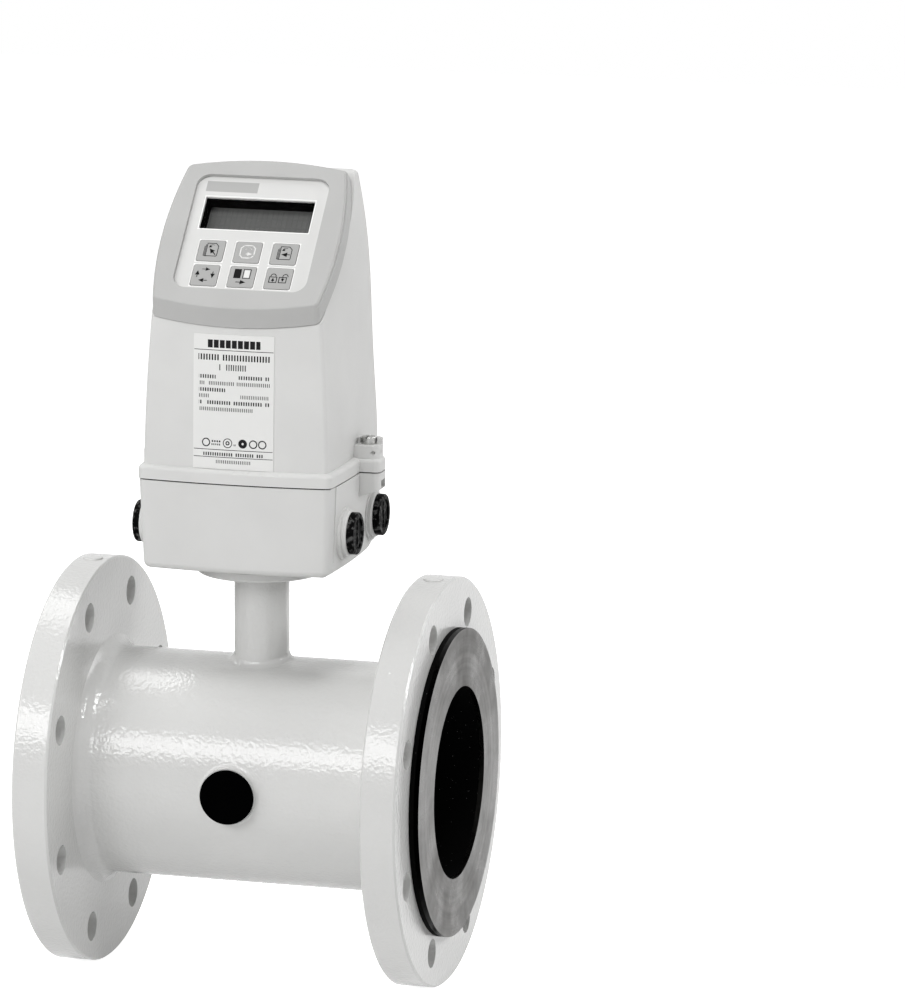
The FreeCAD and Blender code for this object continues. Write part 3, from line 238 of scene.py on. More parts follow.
def distance(finish, across, along, middle=(0, 0)):
    """How far the point is from a middle in millimetres, on two of its coordinates."""
    squares = []
    for value, centre in zip((across, along), middle):
        step = sum_of(finish, "SUBTRACT", value, centre * mm)
        squares.append(sum_of(finish, "MULTIPLY", step, step))
    return sum_of(finish, "SQRT", sum_of(finish, "ADD", *squares))


def grey(value):
    """A grey that is a little warm, like the prints and plastics of the real meter."""
    return (value, value, value * 0.985)


# %% [markdown]
# ## Painted steel
#
# The flanges, the pipe and the neck share one coat of thick two-part paint. It is sprayed, and it
# dries with orange peel: low round waves about two millimetres across that break a reflection
# into small flecks. A glossy shader with a fine noise as relief gives that. A second, broader and
# much flatter wave stands for the uneven thickness of the coat, and the colour hardly varies.

# %% The paint of the sensor
def sensor_paint(name="sensor_paint"):
    finish = new_finish(name, grey(0.68), 0.24)
    tone = noise(finish, 14, 3)
    paint_with(finish, between(finish, tone, grey(0.665), grey(0.695), 0.3, 0.7))
    vary_roughness(finish, noise(finish, 60, 2), 0.07, 0.12, 0.3, 0.7)
    broad = relief(finish, noise(finish, 70, 1), 0.18 * mm, 0.3)
    relief(finish, noise(finish, 430, 1.5), 0.45 * mm, 0.65, broad)
    return finish


paint = sensor_paint()
print("finish:", paint.name)

# %% [markdown]
# The neck's foot and the flanges' inner corners are welded by hand, and the paint follows the
# bead's ripples. The bead could be modelled, but it is one fillet on the solid already, so the same
# paint gets a stronger, coarser relief where the surface is near a weld. The distance from the
# neck's axis and the place along the pipe tell the shader where that is.

# %% The same paint over the welds
neck_weld_radius = 19.85 * mm
neck_weld_reach = 8 * mm
flange_weld_from_middle = 92 * mm
flange_weld_reach = 9 * mm


def near_band(finish, value, middle, reach):
    """One at a value, and falling to nothing at a distance from it."""
    away = sum_of(finish, "ABSOLUTE", sum_of(finish, "SUBTRACT", value, middle))
    node = add_node(finish, "MapRange", {"From Min": reach, "From Max": reach * 0.35},
                    interpolation_type="SMOOTHSTEP")
    join(finish, away, node.inputs["Value"])
    return node.outputs["Result"]


def welded_paint():
    finish = sensor_paint("welded_paint")
    split = add_node(finish, "SeparateXYZ")
    join(finish, here(finish), split.inputs[0])
    x, y, z = split.outputs
    from_neck = distance(finish, x, y)
    neck_foot = near_band(finish, from_neck, neck_weld_radius, neck_weld_reach)
    above = sum_of(finish, "GREATER_THAN", z, 0)
    neck_foot = sum_of(finish, "MULTIPLY", neck_foot, above)
    flange_foot = near_band(finish, sum_of(finish, "ABSOLUTE", x), flange_weld_from_middle,
                            flange_weld_reach)
    weld = sum_of(finish, "MAXIMUM", neck_foot, flange_foot)
    lumps = sum_of(finish, "MULTIPLY", noise(finish, 210, 1.5), weld)
    smooth_paint = shader_of(finish).inputs["Normal"].links[0].from_socket
    relief(finish, lumps, 0.6 * mm, 0.5, smooth_paint)
    return finish


weld_paint = welded_paint()
print("finish:", weld_paint.name)

# %% [markdown]
# ## Turned steel
#
# The ring on each end is stainless steel, faced on a lathe. The tool leaves a fine spiral, so the
# marks are circles round the pipe, and light runs across them as a bright wedge that turns with the
# viewer. A radius worked out from two coordinates, fed to a one-dimensional noise, gives circles of
# uneven depth. Real faces are also stained and rubbed: a cloudy noise changes the roughness, and
# another lays darker stains over the metal. Beyond the ring's face, its outer edge is painted
# black: painted shade, as dark as the black lining beside it.

# %% The finish of the end rings
ring_radius = 94 * mm
ring_corner = 0.2 * mm
ring_dark, ring_light, ring_stain = (0.045, 0.044, 0.041), (0.13, 0.126, 0.12), (0.045, 0.043, 0.04)
stain_strength = 0.7


def turned_steel():
    finish = new_finish("turned_steel", (0.15, 0.146, 0.138), 0.30, 1.0)
    split = add_node(finish, "SeparateXYZ")
    join(finish, here(finish), split.inputs[0])
    radius = distance(finish, split.outputs[1], split.outputs[2])
    along = add_node(finish, "CombineXYZ")
    join(finish, radius, along.inputs[0])
    marks = noise(finish, 2600, 3, 0.6, along.outputs[0])
    bands = noise(finish, 240, 2, 0.5, along.outputs[0])
    cloud = noise(finish, 38, 4, 0.6)
    paint_with(finish, between(finish, bands, ring_dark, ring_light, 0.3, 0.7))
    stains = between(finish, noise(finish, 21, 5, 0.65), grey(0.0), grey(1.0), 0.46, 0.66)
    print_over(finish, sum_of(finish, "MULTIPLY", stains, stain_strength), ring_stain)
    # Painted shade: beyond the ring's face its outer edge is painted black, as dark as the lining
    # beside it.
    rim = sum_of(finish, "GREATER_THAN", radius, ring_radius - ring_corner)
    print_over(finish, rim, (0.0, 0.0, 0.0))
    vary_roughness(finish, cloud, 0.20, 0.42, 0.3, 0.7)
    relief(finish, marks, 0.04 * mm, 0.5)
    shader_of(finish).inputs["Anisotropic"].default_value = 0.7
    tangent = add_node(finish, "Tangent", direction_type="RADIAL", axis="X")
    join(finish, tangent.outputs[0], shader_of(finish).inputs["Tangent"])
    return finish


ring_steel = turned_steel()
print("finish:", ring_steel.name)

# %% [markdown]
# Screws and clips are plated steel: bright, smooth and slightly smeared by handling. The laminated
# core of the transformer is dull varnished iron with thin lines, one for each sheet.

# %% Plated steel and laminated iron
def plated_steel():
    finish = new_finish("plated_steel", (0.42, 0.42, 0.41), 0.24, 1.0)
    vary_roughness(finish, noise(finish, 320, 3), 0.16, 0.36, 0.3, 0.7)
    relief(finish, noise(finish, 1500, 2), 0.03 * mm, 0.35)
    return finish


def laminated_iron():
    finish = new_finish("laminated_iron", (0.20, 0.20, 0.20), 0.45, 0.6)
    sheets = add_node(finish, "TexWave", {"Scale": 520.0, "Distortion": 0.3}, bands_direction="Y")
    join(finish, here(finish), sheets.inputs["Vector"])
    paint_with(finish, between(finish, sheets.outputs["Fac"], (0.10, 0.10, 0.10),
                               (0.26, 0.26, 0.255)))
    relief(finish, sheets.outputs["Fac"], 0.15 * mm, 0.6)
    return finish


screw_steel = plated_steel()
core_iron = laminated_iron()
print("finishes:", screw_steel.name, core_iron.name)

# %% [markdown]
# ## Moulded plastic
#
# The transmitter's shells are glass-filled plastic from spark-eroded moulds, which leave an even,
# fine, matt grain of less than a millimetre. One function makes them all: the colour, the
# roughness, the grain's size and depth and the gloss change from piece to piece. The colour drifts
# a little over the piece, as real mouldings do. Over the black of the ribbed plugs of the box, a
# noise with a narrow ramp lays pale mottled patches.

# %% One function for all grained mouldings
def moulded(name, colour, roughness, grain=1500, depth=0.05 * mm, drift=0.03, gloss=0.5):
    finish = new_finish(name, colour, roughness)
    shader_of(finish).inputs["Specular IOR Level"].default_value = gloss
    darker = tuple(c * (1 - drift) for c in colour)
    lighter = tuple(min(c * (1 + drift), 1) for c in colour)
    paint_with(finish, between(finish, noise(finish, 22, 3), darker, lighter, 0.3, 0.7))
    vary_roughness(finish, noise(finish, 700, 2), roughness - 0.05, roughness + 0.06, 0.3, 0.7)
    relief(finish, noise(finish, grain, 2), depth, 0.45)
    return finish


shell_plastic = moulded("shell_plastic", grey(0.655), 0.50)
head_plastic = moulded("head_plastic", grey(0.445), 0.44)
panel_plastic = moulded("panel_plastic", grey(0.65), 0.42, 1900, 0.03 * mm, 0.015)
key_plastic = moulded("key_plastic", grey(0.365), 0.48, 1900, 0.03 * mm, 0.02)
black_plastic = moulded("black_plastic", (0.0012, 0.0012, 0.0013), 0.45, 420, 0.2 * mm, 0.03, 0.02)
plug_plastic = moulded("plug_plastic", (0.0008, 0.0008, 0.0009), 0.5, 1300, 0.04 * mm, 0.03, 0.0)
white_plastic = moulded("white_plastic", grey(0.78), 0.4)
block_plastic = moulded("block_plastic", (0.05, 0.30, 0.14), 0.42)
# Pale mottled patches, laid over the black at a fixed strength.
pale_mottle_strength = 0.16
pale_mottle = between(black_plastic, noise(black_plastic, 330, 3, 0.6), grey(0.0), grey(1.0), 0.52, 0.60)
print_over(black_plastic, sum_of(black_plastic, "MULTIPLY", pale_mottle, pale_mottle_strength), grey(0.5))
print("eight mouldings")

# %% [markdown]
# ## Rubber
#
# The lining is hard black rubber, and the seals are softer. Both are dull, with a dusty bloom and
# pale specks that stick to the cut edge. A Voronoi pattern gives round specks: close to a cell's
# middle the distance is small, and a narrow ramp keeps only that.

# %% Black rubber with dust
rubber_black = (0.0015, 0.0015, 0.0015)


def dusty_rubber():
    finish = new_finish("dusty_rubber", (0.002, 0.002, 0.002), 0.6)
    shader_of(finish).inputs["Specular IOR Level"].default_value = 0.02
    cells = add_node(finish, "TexVoronoi", {"Scale": 620.0, "Randomness": 1.0})
    join(finish, here(finish), cells.inputs["Vector"])
    specks = between(finish, cells.outputs["Distance"], grey(0.30), rubber_black, 0.05, 0.12)
    some = sum_of(finish, "GREATER_THAN", noise(finish, 240, 2), 0.56)
    mixed = add_node(finish, "MixRGB")
    mixed.inputs["Color1"].default_value = (*rubber_black, 1)
    join(finish, some, mixed.inputs["Fac"])
    join(finish, specks, mixed.inputs["Color2"])
    paint_with(finish, mixed.outputs["Color"])
    relief(finish, noise(finish, 800, 3), 0.06 * mm, 0.5)
    return finish


rubber = dusty_rubber()
print("finish:", rubber.name)

# %% [markdown]
# ## Print on the keypad and on the label
#
# What is printed lies in the surface, so it belongs in the finish and not in a new piece. A
# rectangle is two comparisons across and two upwards, multiplied together. On the sloping face the
# pattern needs the slope's own X and Y, and a Mapping node of the texture kind turns the object's
# coordinates into them.
#
# The plate carries an empty grey field above the display. A thin white line round the display's
# opening is a painted highlight on the opening's edge. A pale outline round each key is a painted
# highlight on the key's edge, which also lightens the shade in the gap round it and parts the key
# from the plate.

# %% Points on the sloping face, and printed rectangles
def on_face(finish):
    """The shaded point measured across and up the sloping face."""
    node = add_node(finish, "Mapping", {"Location": slope_front, "Rotation": (slope_angle, 0, 0)},
                    vector_type="TEXTURE")
    join(finish, here(finish), node.inputs["Vector"])
    return node.outputs["Vector"]


def inside(finish, value, low, high):
    return sum_of(finish, "MULTIPLY", sum_of(finish, "GREATER_THAN", value, low),
                  sum_of(finish, "LESS_THAN", value, high))


def field(finish, across, along, left, right_side, bottom, top):
    """One inside a rectangle given in millimetres, and nothing outside it."""
    return sum_of(finish, "MULTIPLY", inside(finish, across, left * mm, right_side * mm),
                  inside(finish, along, bottom * mm, top * mm))


# %% The keypad plate's finish, in millimetres
window_half = 34.15
window_low = 52.4
window_high = 75.8
window_highlight_width = 0.7
grey_field = (-35.6, -3.2, 79.5, 87.0)
key_pitch_across = 22.9
key_rows = {"top": 36.25, "bottom": 18.45}
key_highlight_half = (8.75, 8.25)

face_split = add_node(panel_plastic, "SeparateXYZ")
join(panel_plastic, on_face(panel_plastic), face_split.inputs[0])
face_x, face_y = face_split.outputs[0], face_split.outputs[1]
print_over(panel_plastic, field(panel_plastic, face_x, face_y, *grey_field), grey(0.40))
# Painted highlight: a thin white line round the display's opening, along its edge.
window_edge_highlight = field(panel_plastic, face_x, face_y,
                    -window_half - window_highlight_width, window_half + window_highlight_width,
                    window_low - window_highlight_width, window_high + window_highlight_width)
print_over(panel_plastic, window_edge_highlight, grey(0.92))
half_x, half_y = key_highlight_half
for row_y in key_rows.values():
    for column in (-1, 0, 1):
        key_x = column * key_pitch_across
        # Painted highlight: a pale line round each key's edge, which also lightens the shade in the
        # gap.
        key_edge_highlight = field(panel_plastic, face_x, face_y,
                         key_x - half_x, key_x + half_x, row_y - half_y, row_y + half_y)
        print_over(panel_plastic, key_edge_highlight, grey(0.95))
print("keypad plate printed")

# %% [markdown]
# The rating label is a silvery film with a heading, lines of small type, two closing lines between
# rules, and a row of round marks. Here each line is a row of bars of uneven length, as type looks
# from across a room, and each mark is a ring. A course of a Brick texture is such a row: its bricks
# are the letters and its mortar the spaces. Bricks take a random tint between two colours, and a
# threshold on that tint drops a few, which parts the words.

# %% The label's print, in millimetres
label_low = 198.1
text_ink = (0.008, 0.008, 0.009)

# Each row's bottom, top, word length and gap, then where its bars start and end
label_rows = [
    (72.9, 77.7, 4.7, 0.38, [(-16.2, 16.6)]),
    (65.4, 69.0, 1.75, 0.45, [(-22.0, 22.5)]),
    (59.5, 63.1, 1.8, 0.42, [(-9.0, 9.5)]),
    (54.4, 56.6, 1.5, 0.38, [(-21.5, -11.0), (3.0, 22.0)]),
    (50.5, 52.7, 1.45, 0.36, [(-21.5, 22.5)]),
    (46.5, 48.7, 1.5, 0.36, [(-21.5, -5.0)]),
    (42.8, 45.0, 1.4, 0.36, [(-21.5, -15.0), (4.5, 22.0)]),
    (38.9, 41.1, 1.5, 0.36, [(-21.5, 22.5)]),
    (34.9, 37.1, 1.45, 0.36, [(-21.5, 12.5)]),
    (16.1, 17.2, 1.5, 0.3, [(-13.5, -7.5)]),
    (14.2, 15.3, 1.5, 0.3, [(-13.5, -7.5), (0.2, 1.8)]),
    (7.9, 9.9, 1.45, 0.36, [(-18.5, 18.5)]),
    (3.4, 5.4, 1.45, 0.36, [(-10.5, 11.0)])]
label_rules = (6.9, 11.4, 71.3)
rule_half_length = 24.6
rule_width = 0.4
mark_height = 15.8

# Each round mark's middle, and the radii where its ink ends and starts
label_marks = [(-16.8, 2.6, 1.9), (-3.3, 2.9, 2.4), (-3.3, 1.3, 0.6), (6.1, 2.7, 0.7),
               (12.6, 2.6, 1.9), (18.2, 2.6, 1.9)]
print("the label has", len(label_rows), "rows and", len(label_marks), "rings")

# %% The label's finish
letter_course = 10 * mm
letters_dropped = 0.08
heading_dropped = 0.002


def rows_of_letters(finish, across, row, length, gap, dropped):
    """Bars like a line of type, from a course of bricks of the row's own."""
    point = add_node(finish, "CombineXYZ", {"Y": (row + 0.5) * letter_course})
    join(finish, across, point.inputs[0])
    words = add_node(finish, "TexBrick", {
        "Color1": (0, 0, 0, 1), "Color2": (1, 1, 1, 1), "Mortar": (0, 0, 0, 1), "Scale": 1.0,
        "Mortar Size": gap * mm, "Mortar Smooth": 0.1, "Bias": 0.0, "Brick Width": length * mm,
        "Row Height": letter_course}, offset=0.37, squash=0.8, squash_frequency=2)
    join(finish, point.outputs[0], words.inputs["Vector"])
    return sum_of(finish, "GREATER_THAN", words.outputs["Color"], dropped)


def label_film():
    finish = moulded("label_film", grey(0.79), 0.36, 1200, 0.01 * mm, 0.01, 0.12)
    split = add_node(finish, "SeparateXYZ")
    join(finish, here(finish), split.inputs[0])
    x, z = split.outputs[0], split.outputs[2]
    for row, (bottom, top, length, gap, bars) in enumerate(label_rows):
        dropped = letters_dropped if row else heading_dropped
        letters = rows_of_letters(finish, x, row, length, gap, dropped)
        for left, right_side in bars:
            area = field(finish, x, z, left, right_side, label_low + bottom, label_low + top)
            print_over(finish, sum_of(finish, "MULTIPLY", letters, area), text_ink)
    for middle, outer, inner in label_marks:
        away = distance(finish, x, z, (middle, label_low + mark_height))
        print_over(finish, inside(finish, away, inner * mm, outer * mm), text_ink)
    for height in label_rules:
        rule = field(finish, x, z, -rule_half_length, rule_half_length,
                     label_low + height, label_low + height + rule_width)
        print_over(finish, rule, text_ink)
    return finish


label_finish = label_film()
print("label printed with bars")

# %% [markdown]
# ## Display and pane
#
# The display is off: a dark grey film behind glass, with two rows of character cells that only just
# show. It lies a centimetre down a black tunnel, so the tunnel's top and left walls hide part of it
# from the camera. The pane is clear and thin. Glass that refracts would need many light bounces for
# a thing that hardly shows, so the pane is mostly transparent, with a sharp reflection on top. A
# narrow strip along its top is opaque and pale: a painted highlight along the window's top edge.

# %% Display, tunnel and pane
display_cell = (3.2 * mm, 6.2 * mm)
top_highlight_height = 0.35
pane_cover = 0.03


def dark_display():
    finish = new_finish("dark_display", (0.075, 0.077, 0.074), 0.32)
    shader_of(finish).inputs["Specular IOR Level"].default_value = 0.15
    cells = add_node(finish, "TexBrick", {
        "Color1": (0.132, 0.134, 0.131, 1), "Color2": (0.142, 0.144, 0.141, 1),
        "Mortar": (0.120, 0.122, 0.119, 1), "Scale": 1.0, "Mortar Size": 0.35 * mm,
        "Mortar Smooth": 0.3, "Brick Width": display_cell[0], "Row Height": display_cell[1]},
        offset=0.0, squash=1.0)
    join(finish, on_face(finish), cells.inputs["Vector"])
    paint_with(finish, cells.outputs["Color"])
    relief(finish, noise(finish, 900, 2), 0.01 * mm, 0.3)
    return finish


def clear_pane():
    finish = new_finish("clear_pane", (0.01, 0.01, 0.01), 0.04)
    shader_of(finish).inputs["Specular IOR Level"].default_value = 0.3
    split = add_node(finish, "SeparateXYZ")
    join(finish, on_face(finish), split.inputs[0])
    # Painted highlight: the pane's top strip is pale and opaque.
    top_edge_highlight = sum_of(finish, "GREATER_THAN", split.outputs[1],
                      (window_high - top_highlight_height) * mm)
    paint_with(finish, between(finish, top_edge_highlight, (0.01, 0.01, 0.01), grey(0.9)))
    join(finish, sum_of(finish, "MAXIMUM", top_edge_highlight, pane_cover), shader_of(finish).inputs["Alpha"])
    relief(finish, noise(finish, 60, 1), 0.03 * mm, 0.15)
    return finish


display_finish = dark_display()
pane_finish = clear_pane()
tunnel_finish = moulded("tunnel_black", (0.002, 0.002, 0.002), 0.8, 1300, 0.06 * mm, 0.03, 0.0)
print("display is off")

# %% [markdown]
# ## Inside
#
# Nobody sees the boards and coils in this picture, but a part may be opened later, so each gets a
# modest finish. A board is green lacquer over copper tracks, which a Brick texture in a tone near
# the green suggests. Coils are copper wire under varnish: fine bands along one direction.

# %% Boards and windings
def board_lacquer():
    finish = new_finish("board_lacquer", (0.015, 0.14, 0.06), 0.3)
    tracks = add_node(finish, "TexBrick", {
        "Color1": (0.012, 0.12, 0.05, 1), "Color2": (0.02, 0.17, 0.075, 1),
        "Mortar": (0.03, 0.21, 0.10, 1), "Scale": 1.0, "Mortar Size": 0.25 * mm,
        "Brick Width": 7 * mm, "Row Height": 1.8 * mm})
    join(finish, here(finish), tracks.inputs["Vector"])
    paint_with(finish, tracks.outputs["Color"])
    relief(finish, tracks.outputs["Fac"], 0.04 * mm, 0.5)
    return finish


def wound_copper():
    finish = new_finish("wound_copper", (0.55, 0.24, 0.10), 0.35, 0.8)
    turns = add_node(finish, "TexWave", {"Scale": 420.0, "Distortion": 0.6, "Detail": 1.0},
                     bands_direction="Z")
    join(finish, here(finish), turns.inputs["Vector"])
    paint_with(finish, between(finish, turns.outputs["Fac"], (0.34, 0.12, 0.05),
                               (0.66, 0.31, 0.14)))
    relief(finish, turns.outputs["Fac"], 0.2 * mm, 0.7)
    return finish


board_finish = board_lacquer()
copper_finish = wound_copper()
print("finishes so far:", len(bpy.data.materials))

# %% [markdown]
# ## Dress the pieces of the solid model
#
# A piece from the solid model is a mesh of loose triangles: right in shape, but each triangle is
# shaded flat, and a gloss would show them. Its mesh is kept as it is, so a piece that shows gets a
# copy: the copy's doubled points are merged, its faces are shaded smoothly, and edges that turn by
# more than a set angle stay sharp. A Weighted Normal modifier then keeps large flat faces flat
# right up to their rounded edges. The copy stands for the original and moves with the same body.
# Pieces inside only get their finish.

# %% Which finish goes on which piece
shown = {
    paint: ["inlet_flange", "outlet_flange", "neck_plate", "inlet_rim_plug", "outlet_rim_plug"],
    weld_paint: ["coil_housing", "neck_tube"],
    ring_steel: ["inlet_earth_ring", "outlet_earth_ring"],
    rubber: ["liner", "neck_gasket", "cover_seal", "bezel_seal"],
    plug_plastic: ["front_access_plug", "rear_access_plug"],
    black_plastic: ["entry_plugs"],
    shell_plastic: ["terminal_box", "transmitter_housing"],
    head_plastic: ["bezel"],
    panel_plastic: ["keypad_panel"],
    label_finish: ["rating_plate"],
    pane_finish: ["display_window"],
    tunnel_finish: ["display_frame"],
    display_finish: ["display_module"],
    screw_steel: ["right_cover_screw", "left_cover_screw"],
    key_plastic: ["top_menu_key", "backward_key", "page_key",
                  "change_key", "select_key", "lock_key"]}
hidden = {
    screw_steel: ["measuring_tube", "upper_pole_shoe", "lower_pole_shoe", "return_band",
                  "electrodes", "electrode_nuts", "neck_screws", "display_board_screws",
                  "terminal_board_screws", "earth_screw", "main_board_screws"],
    copper_finish: ["upper_coil", "lower_coil", "transformer_winding"],
    core_iron: ["transformer_core"],
    rubber: ["electrode_leads", "coil_lead_bundle"],
    black_plastic: ["key_switches", "board_connector", "memory_module"],
    white_plastic: ["electrode_bushes", "capacitors"],
    board_finish: ["display_board", "terminal_board", "main_board"],
    block_plastic: ["supply_terminals", "output_terminals", "sensor_terminals"]}
print(sum(map(len, shown.values())), "pieces show,", sum(map(len, hidden.values())), "are inside")

# %% Copy, merge and smooth the pieces that show
body_with = {node: body for body, nodes in frame["record"]["behaviour"]["bodies"].items()
             for node in nodes}
crease = math.radians(28)
same_point = 0.002 * mm
flat_face_weight = 80


def finish_piece(bm, name, finish, body):
    """Turn a bmesh into a piece that has a finish and moves with a body."""
    mesh = bpy.data.meshes.new(name)
    bm.to_mesh(mesh)
    bm.free()
    mesh.materials.append(finish)
    piece = bpy.data.objects.new(name, mesh)
    bpy.context.scene.collection.objects.link(piece)
    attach(piece, body)
    return piece


def smooth_but_for_creases(bm):
    for face in bm.faces:
        face.smooth = True
    for edge in bm.edges:
        edge.smooth = len(edge.link_faces) == 2 and edge.calc_face_angle(math.pi) < crease


def dress(node, finish):
    bm = bmesh.new()
    bm.from_mesh(frame["nodes"][node].data)
    bmesh.ops.remove_doubles(bm, verts=bm.verts, dist=same_point)
    smooth_but_for_creases(bm)
    piece = finish_piece(bm, node + "_shell", finish, body_with[node])
    level = piece.modifiers.new("flat faces stay flat", "WEIGHTED_NORMAL")
    level.keep_sharp = True
    level.weight = flat_face_weight
    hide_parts(node)
    return piece


dressed = {node: dress(node, finish) for finish, nodes in shown.items() for node in nodes}
for finish, nodes in hidden.items():
    for node in nodes:
        mesh = frame["nodes"][node].data
        mesh.materials.clear()
        mesh.materials.append(finish)
triangles = sum(len(piece.data.polygons) for piece in dressed.values())
print("dressed", len(dressed), "pieces,", triangles, "triangles")

# %% [markdown]
# ## Signs on the keys
#
# Each key carries a small sign: a page with an arrow, a pale return sign, arrows that go round,
# a dark and a light field, and two locks. They are simple office signs, drawn anew. A sign could be
# an image, but as a shape it stays sharp and rides on its key. Each one is drawn flat in
# millimetres from the key's middle, given the thickness of ink, and carried to the key's top by the
# slope's matrix. That matrix also makes it a little larger, and sets it just above the middle.

# %% Helpers that draw with ink
ink_thickness = 0.05
arrowhead = 1.5
arrowhead_half_width = 0.45
arrowhead_share_at_most = 0.8
sign_size = 1.25
sign_lift = 0.4
key_top = -2.05
dark_ink = moulded("dark_ink", (0.002, 0.002, 0.002), 0.6, 1900, 0.02 * mm, 0.03, 0.1)
pale_ink = moulded("pale_ink", grey(0.74), 0.5, 1900, 0.02 * mm)


def patch(bm, corners):
    """A flat shape from its corners in millimetres, anticlockwise."""
    bm.faces.new([bm.verts.new((x * mm, y * mm, 0)) for x, y in corners])


def stroke(bm, start, end, width=0.4):
    """A straight line of ink."""
    along = (Vector(end) - Vector(start)).normalized() * width / 2
    side = Vector((-along.y, along.x))
    a, b = Vector(start) - along, Vector(end) + along
    patch(bm, [a - side, b - side, b + side, a + side])


def outline(bm, corners, width=0.4):
    for start, end in zip(corners, corners[1:] + corners[:1]):
        stroke(bm, start, end, width)


def arrow(bm, tail, tip, width=0.4, head=1.7):
    """A line that ends in a filled point."""
    line = Vector(tip) - Vector(tail)
    along = line.normalized()
    length = min(head * arrowhead, line.length * arrowhead_share_at_most)
    side = Vector((-along.y, along.x)) * length * arrowhead_half_width
    neck = Vector(tip) - along * length
    stroke(bm, tail, neck, width)
    patch(bm, [neck - side, Vector(tip), neck + side])


def bow(bm, middle, radius, start, end, width=0.4, steps=12):
    """A line of ink along part of a circle."""
    turns = [math.radians(start + (end - start) * step / steps) for step in range(steps + 1)]
    points = [(middle[0] + radius * math.cos(t), middle[1] + radius * math.sin(t)) for t in turns]
    for a, b in zip(points, points[1:]):
        stroke(bm, a, b, width)


# %% The six signs, in millimetres from the middle of each key
def page(bm):
    """A sheet with a cut corner and the edges of two more behind it."""
    outline(bm, [(-2.3, -3.4), (2.9, -3.4), (3.3, -2.9), (3.3, 2.4), (1.9, 3.9), (-2.3, 3.9)], 0.35)
    for step in (0.55, 1.1):
        stroke(bm, (-2.3 - step, 3.9 - step * 1.6), (-2.3 - step, -3.4 + step * 0.2), 0.3)
        stroke(bm, (-2.3 - step, -3.4 + step * 0.2), (-2.3, -3.4 - 0.15), 0.3)
    bow(bm, (0.3, 1.6), 1.5, 60, 165, 0.22)


def menu_sign(dark, pale):
    page(dark)
    arrow(dark, (2.3, -2.4), (-0.9, 0.9), 0.5, 1.9)
    arrow(dark, (0.0, 2.3), (-1.6, 1.5), 0.25, 1.2)


def backward_sign(dark, pale):
    outline(pale, [(-2.2, -3.6), (2.0, -3.6), (3.4, -2.0), (3.4, 2.0), (2.0, 3.6), (-2.2, 3.6),
                   (-3.6, 2.0), (-3.6, -2.0)], 0.6)
    bow(pale, (0.2, 0.9), 1.5, 20, 160, 0.45)
    arrow(pale, (-0.6, -1.3), (2.4, -1.3), 0.45, 1.7)


def page_sign(dark, pale):
    page(dark)
    arrow(dark, (2.6, -0.6), (-1.5, -0.6), 0.4, 1.9)
    arrow(dark, (0.0, 2.3), (-1.6, 1.5), 0.25, 1.2)


def change_sign(dark, pale):
    arrow(dark, (-1.9, 3.1), (2.0, 3.1), 0.3, 1.5)
    arrow(dark, (3.7, 1.7), (3.7, -1.9), 0.4, 1.7)
    arrow(dark, (1.4, -3.3), (-2.8, -3.3), 0.4, 1.7)
    arrow(dark, (-3.9, -1.5), (-3.9, 2.3), 0.4, 1.7)


def select_sign(dark, pale):
    patch(dark, [(-4.1, -1.2), (-0.6, -1.2), (-0.6, 4.1), (-4.1, 4.1)])
    outline(dark, [(0.5, -1.1), (4.0, -1.1), (4.0, 4.0), (0.5, 4.0)], 0.35)
    patch(pale, [(0.9, -0.7), (3.6, -0.7), (3.6, 3.6), (0.9, 3.6)])
    arrow(dark, (-2.3, -3.4), (2.4, -3.4), 0.4, 1.8)


def lock_sign(dark, pale):
    for middle, lean, tail, tip in ((-2.6, 0.0, -2.2, 0.1), (2.2, 1.1, 0.2, -2.1)):
        left, right_side = middle - 1.9, middle + 1.7
        centre = middle - 0.1
        outline(dark, [(left, -2.6), (right_side, -2.6), (right_side, 0.5), (left, 0.5)], 0.4)
        bow(dark, (centre + lean, 1.0), 1.25, 0, 180, 0.38)
        arrow(dark, (centre, tail), (centre, tip), 0.35, 1.3)


signs = {"top_menu_key": menu_sign, "backward_key": backward_sign, "page_key": page_sign,
         "change_key": change_sign, "select_key": select_sign, "lock_key": lock_sign}
print("signs:", ", ".join(signs))

# %% Put the signs on the keys
key_order = [["top_menu_key", "backward_key", "page_key"],
             ["change_key", "select_key", "lock_key"]]


def ink_piece(bm, name, finish, key, across, along):
    """Give flat ink its thickness and seat it on the key's top."""
    grown = bmesh.ops.extrude_face_region(bm, geom=bm.faces[:], use_keep_orig=True)["geom"]
    raised = [part for part in grown if isinstance(part, bmesh.types.BMVert)]
    bmesh.ops.translate(bm, vec=(0, 0, ink_thickness * mm), verts=raised)
    bmesh.ops.recalc_face_normals(bm, faces=bm.faces)
    seat = Matrix.Translation(Vector((across * mm, (along + sign_lift) * mm, key_top * mm)))
    seat = seat @ Matrix.Diagonal((sign_size, sign_size, 1, 1))
    bmesh.ops.transform(bm, matrix=to_slope @ seat, verts=bm.verts)
    return finish_piece(bm, name, finish, body_with[key])


for row, along in zip(key_order, key_rows.values()):
    for column, key in enumerate(row):
        dark, pale = bmesh.new(), bmesh.new()
        signs[key](dark, pale)
        across = (column - 1) * key_pitch_across
        for bm, finish, name in ((dark, dark_ink, "_dark_sign"), (pale, pale_ink, "_pale_sign")):
            if bm.faces:
                ink_piece(bm, key + name, finish, key, across, along)
            else:
                bm.free()
print("signs stand", ink_thickness, "mm above the keys")

# %% [markdown]
# ## Floor, world and lamps
#
# The photograph is cut out on white: soft light from above and from both sides, hardly a shadow.
# A large pale floor keeps a faint shadow under the meter. What the camera sees of it, directly or
# in a reflection, gets a little light of its own, so that it comes out white without more light on
# the meter. A reflection gets less, because there the lamps' light on the floor is enough for
# nearly white. The world does the same above the horizon.

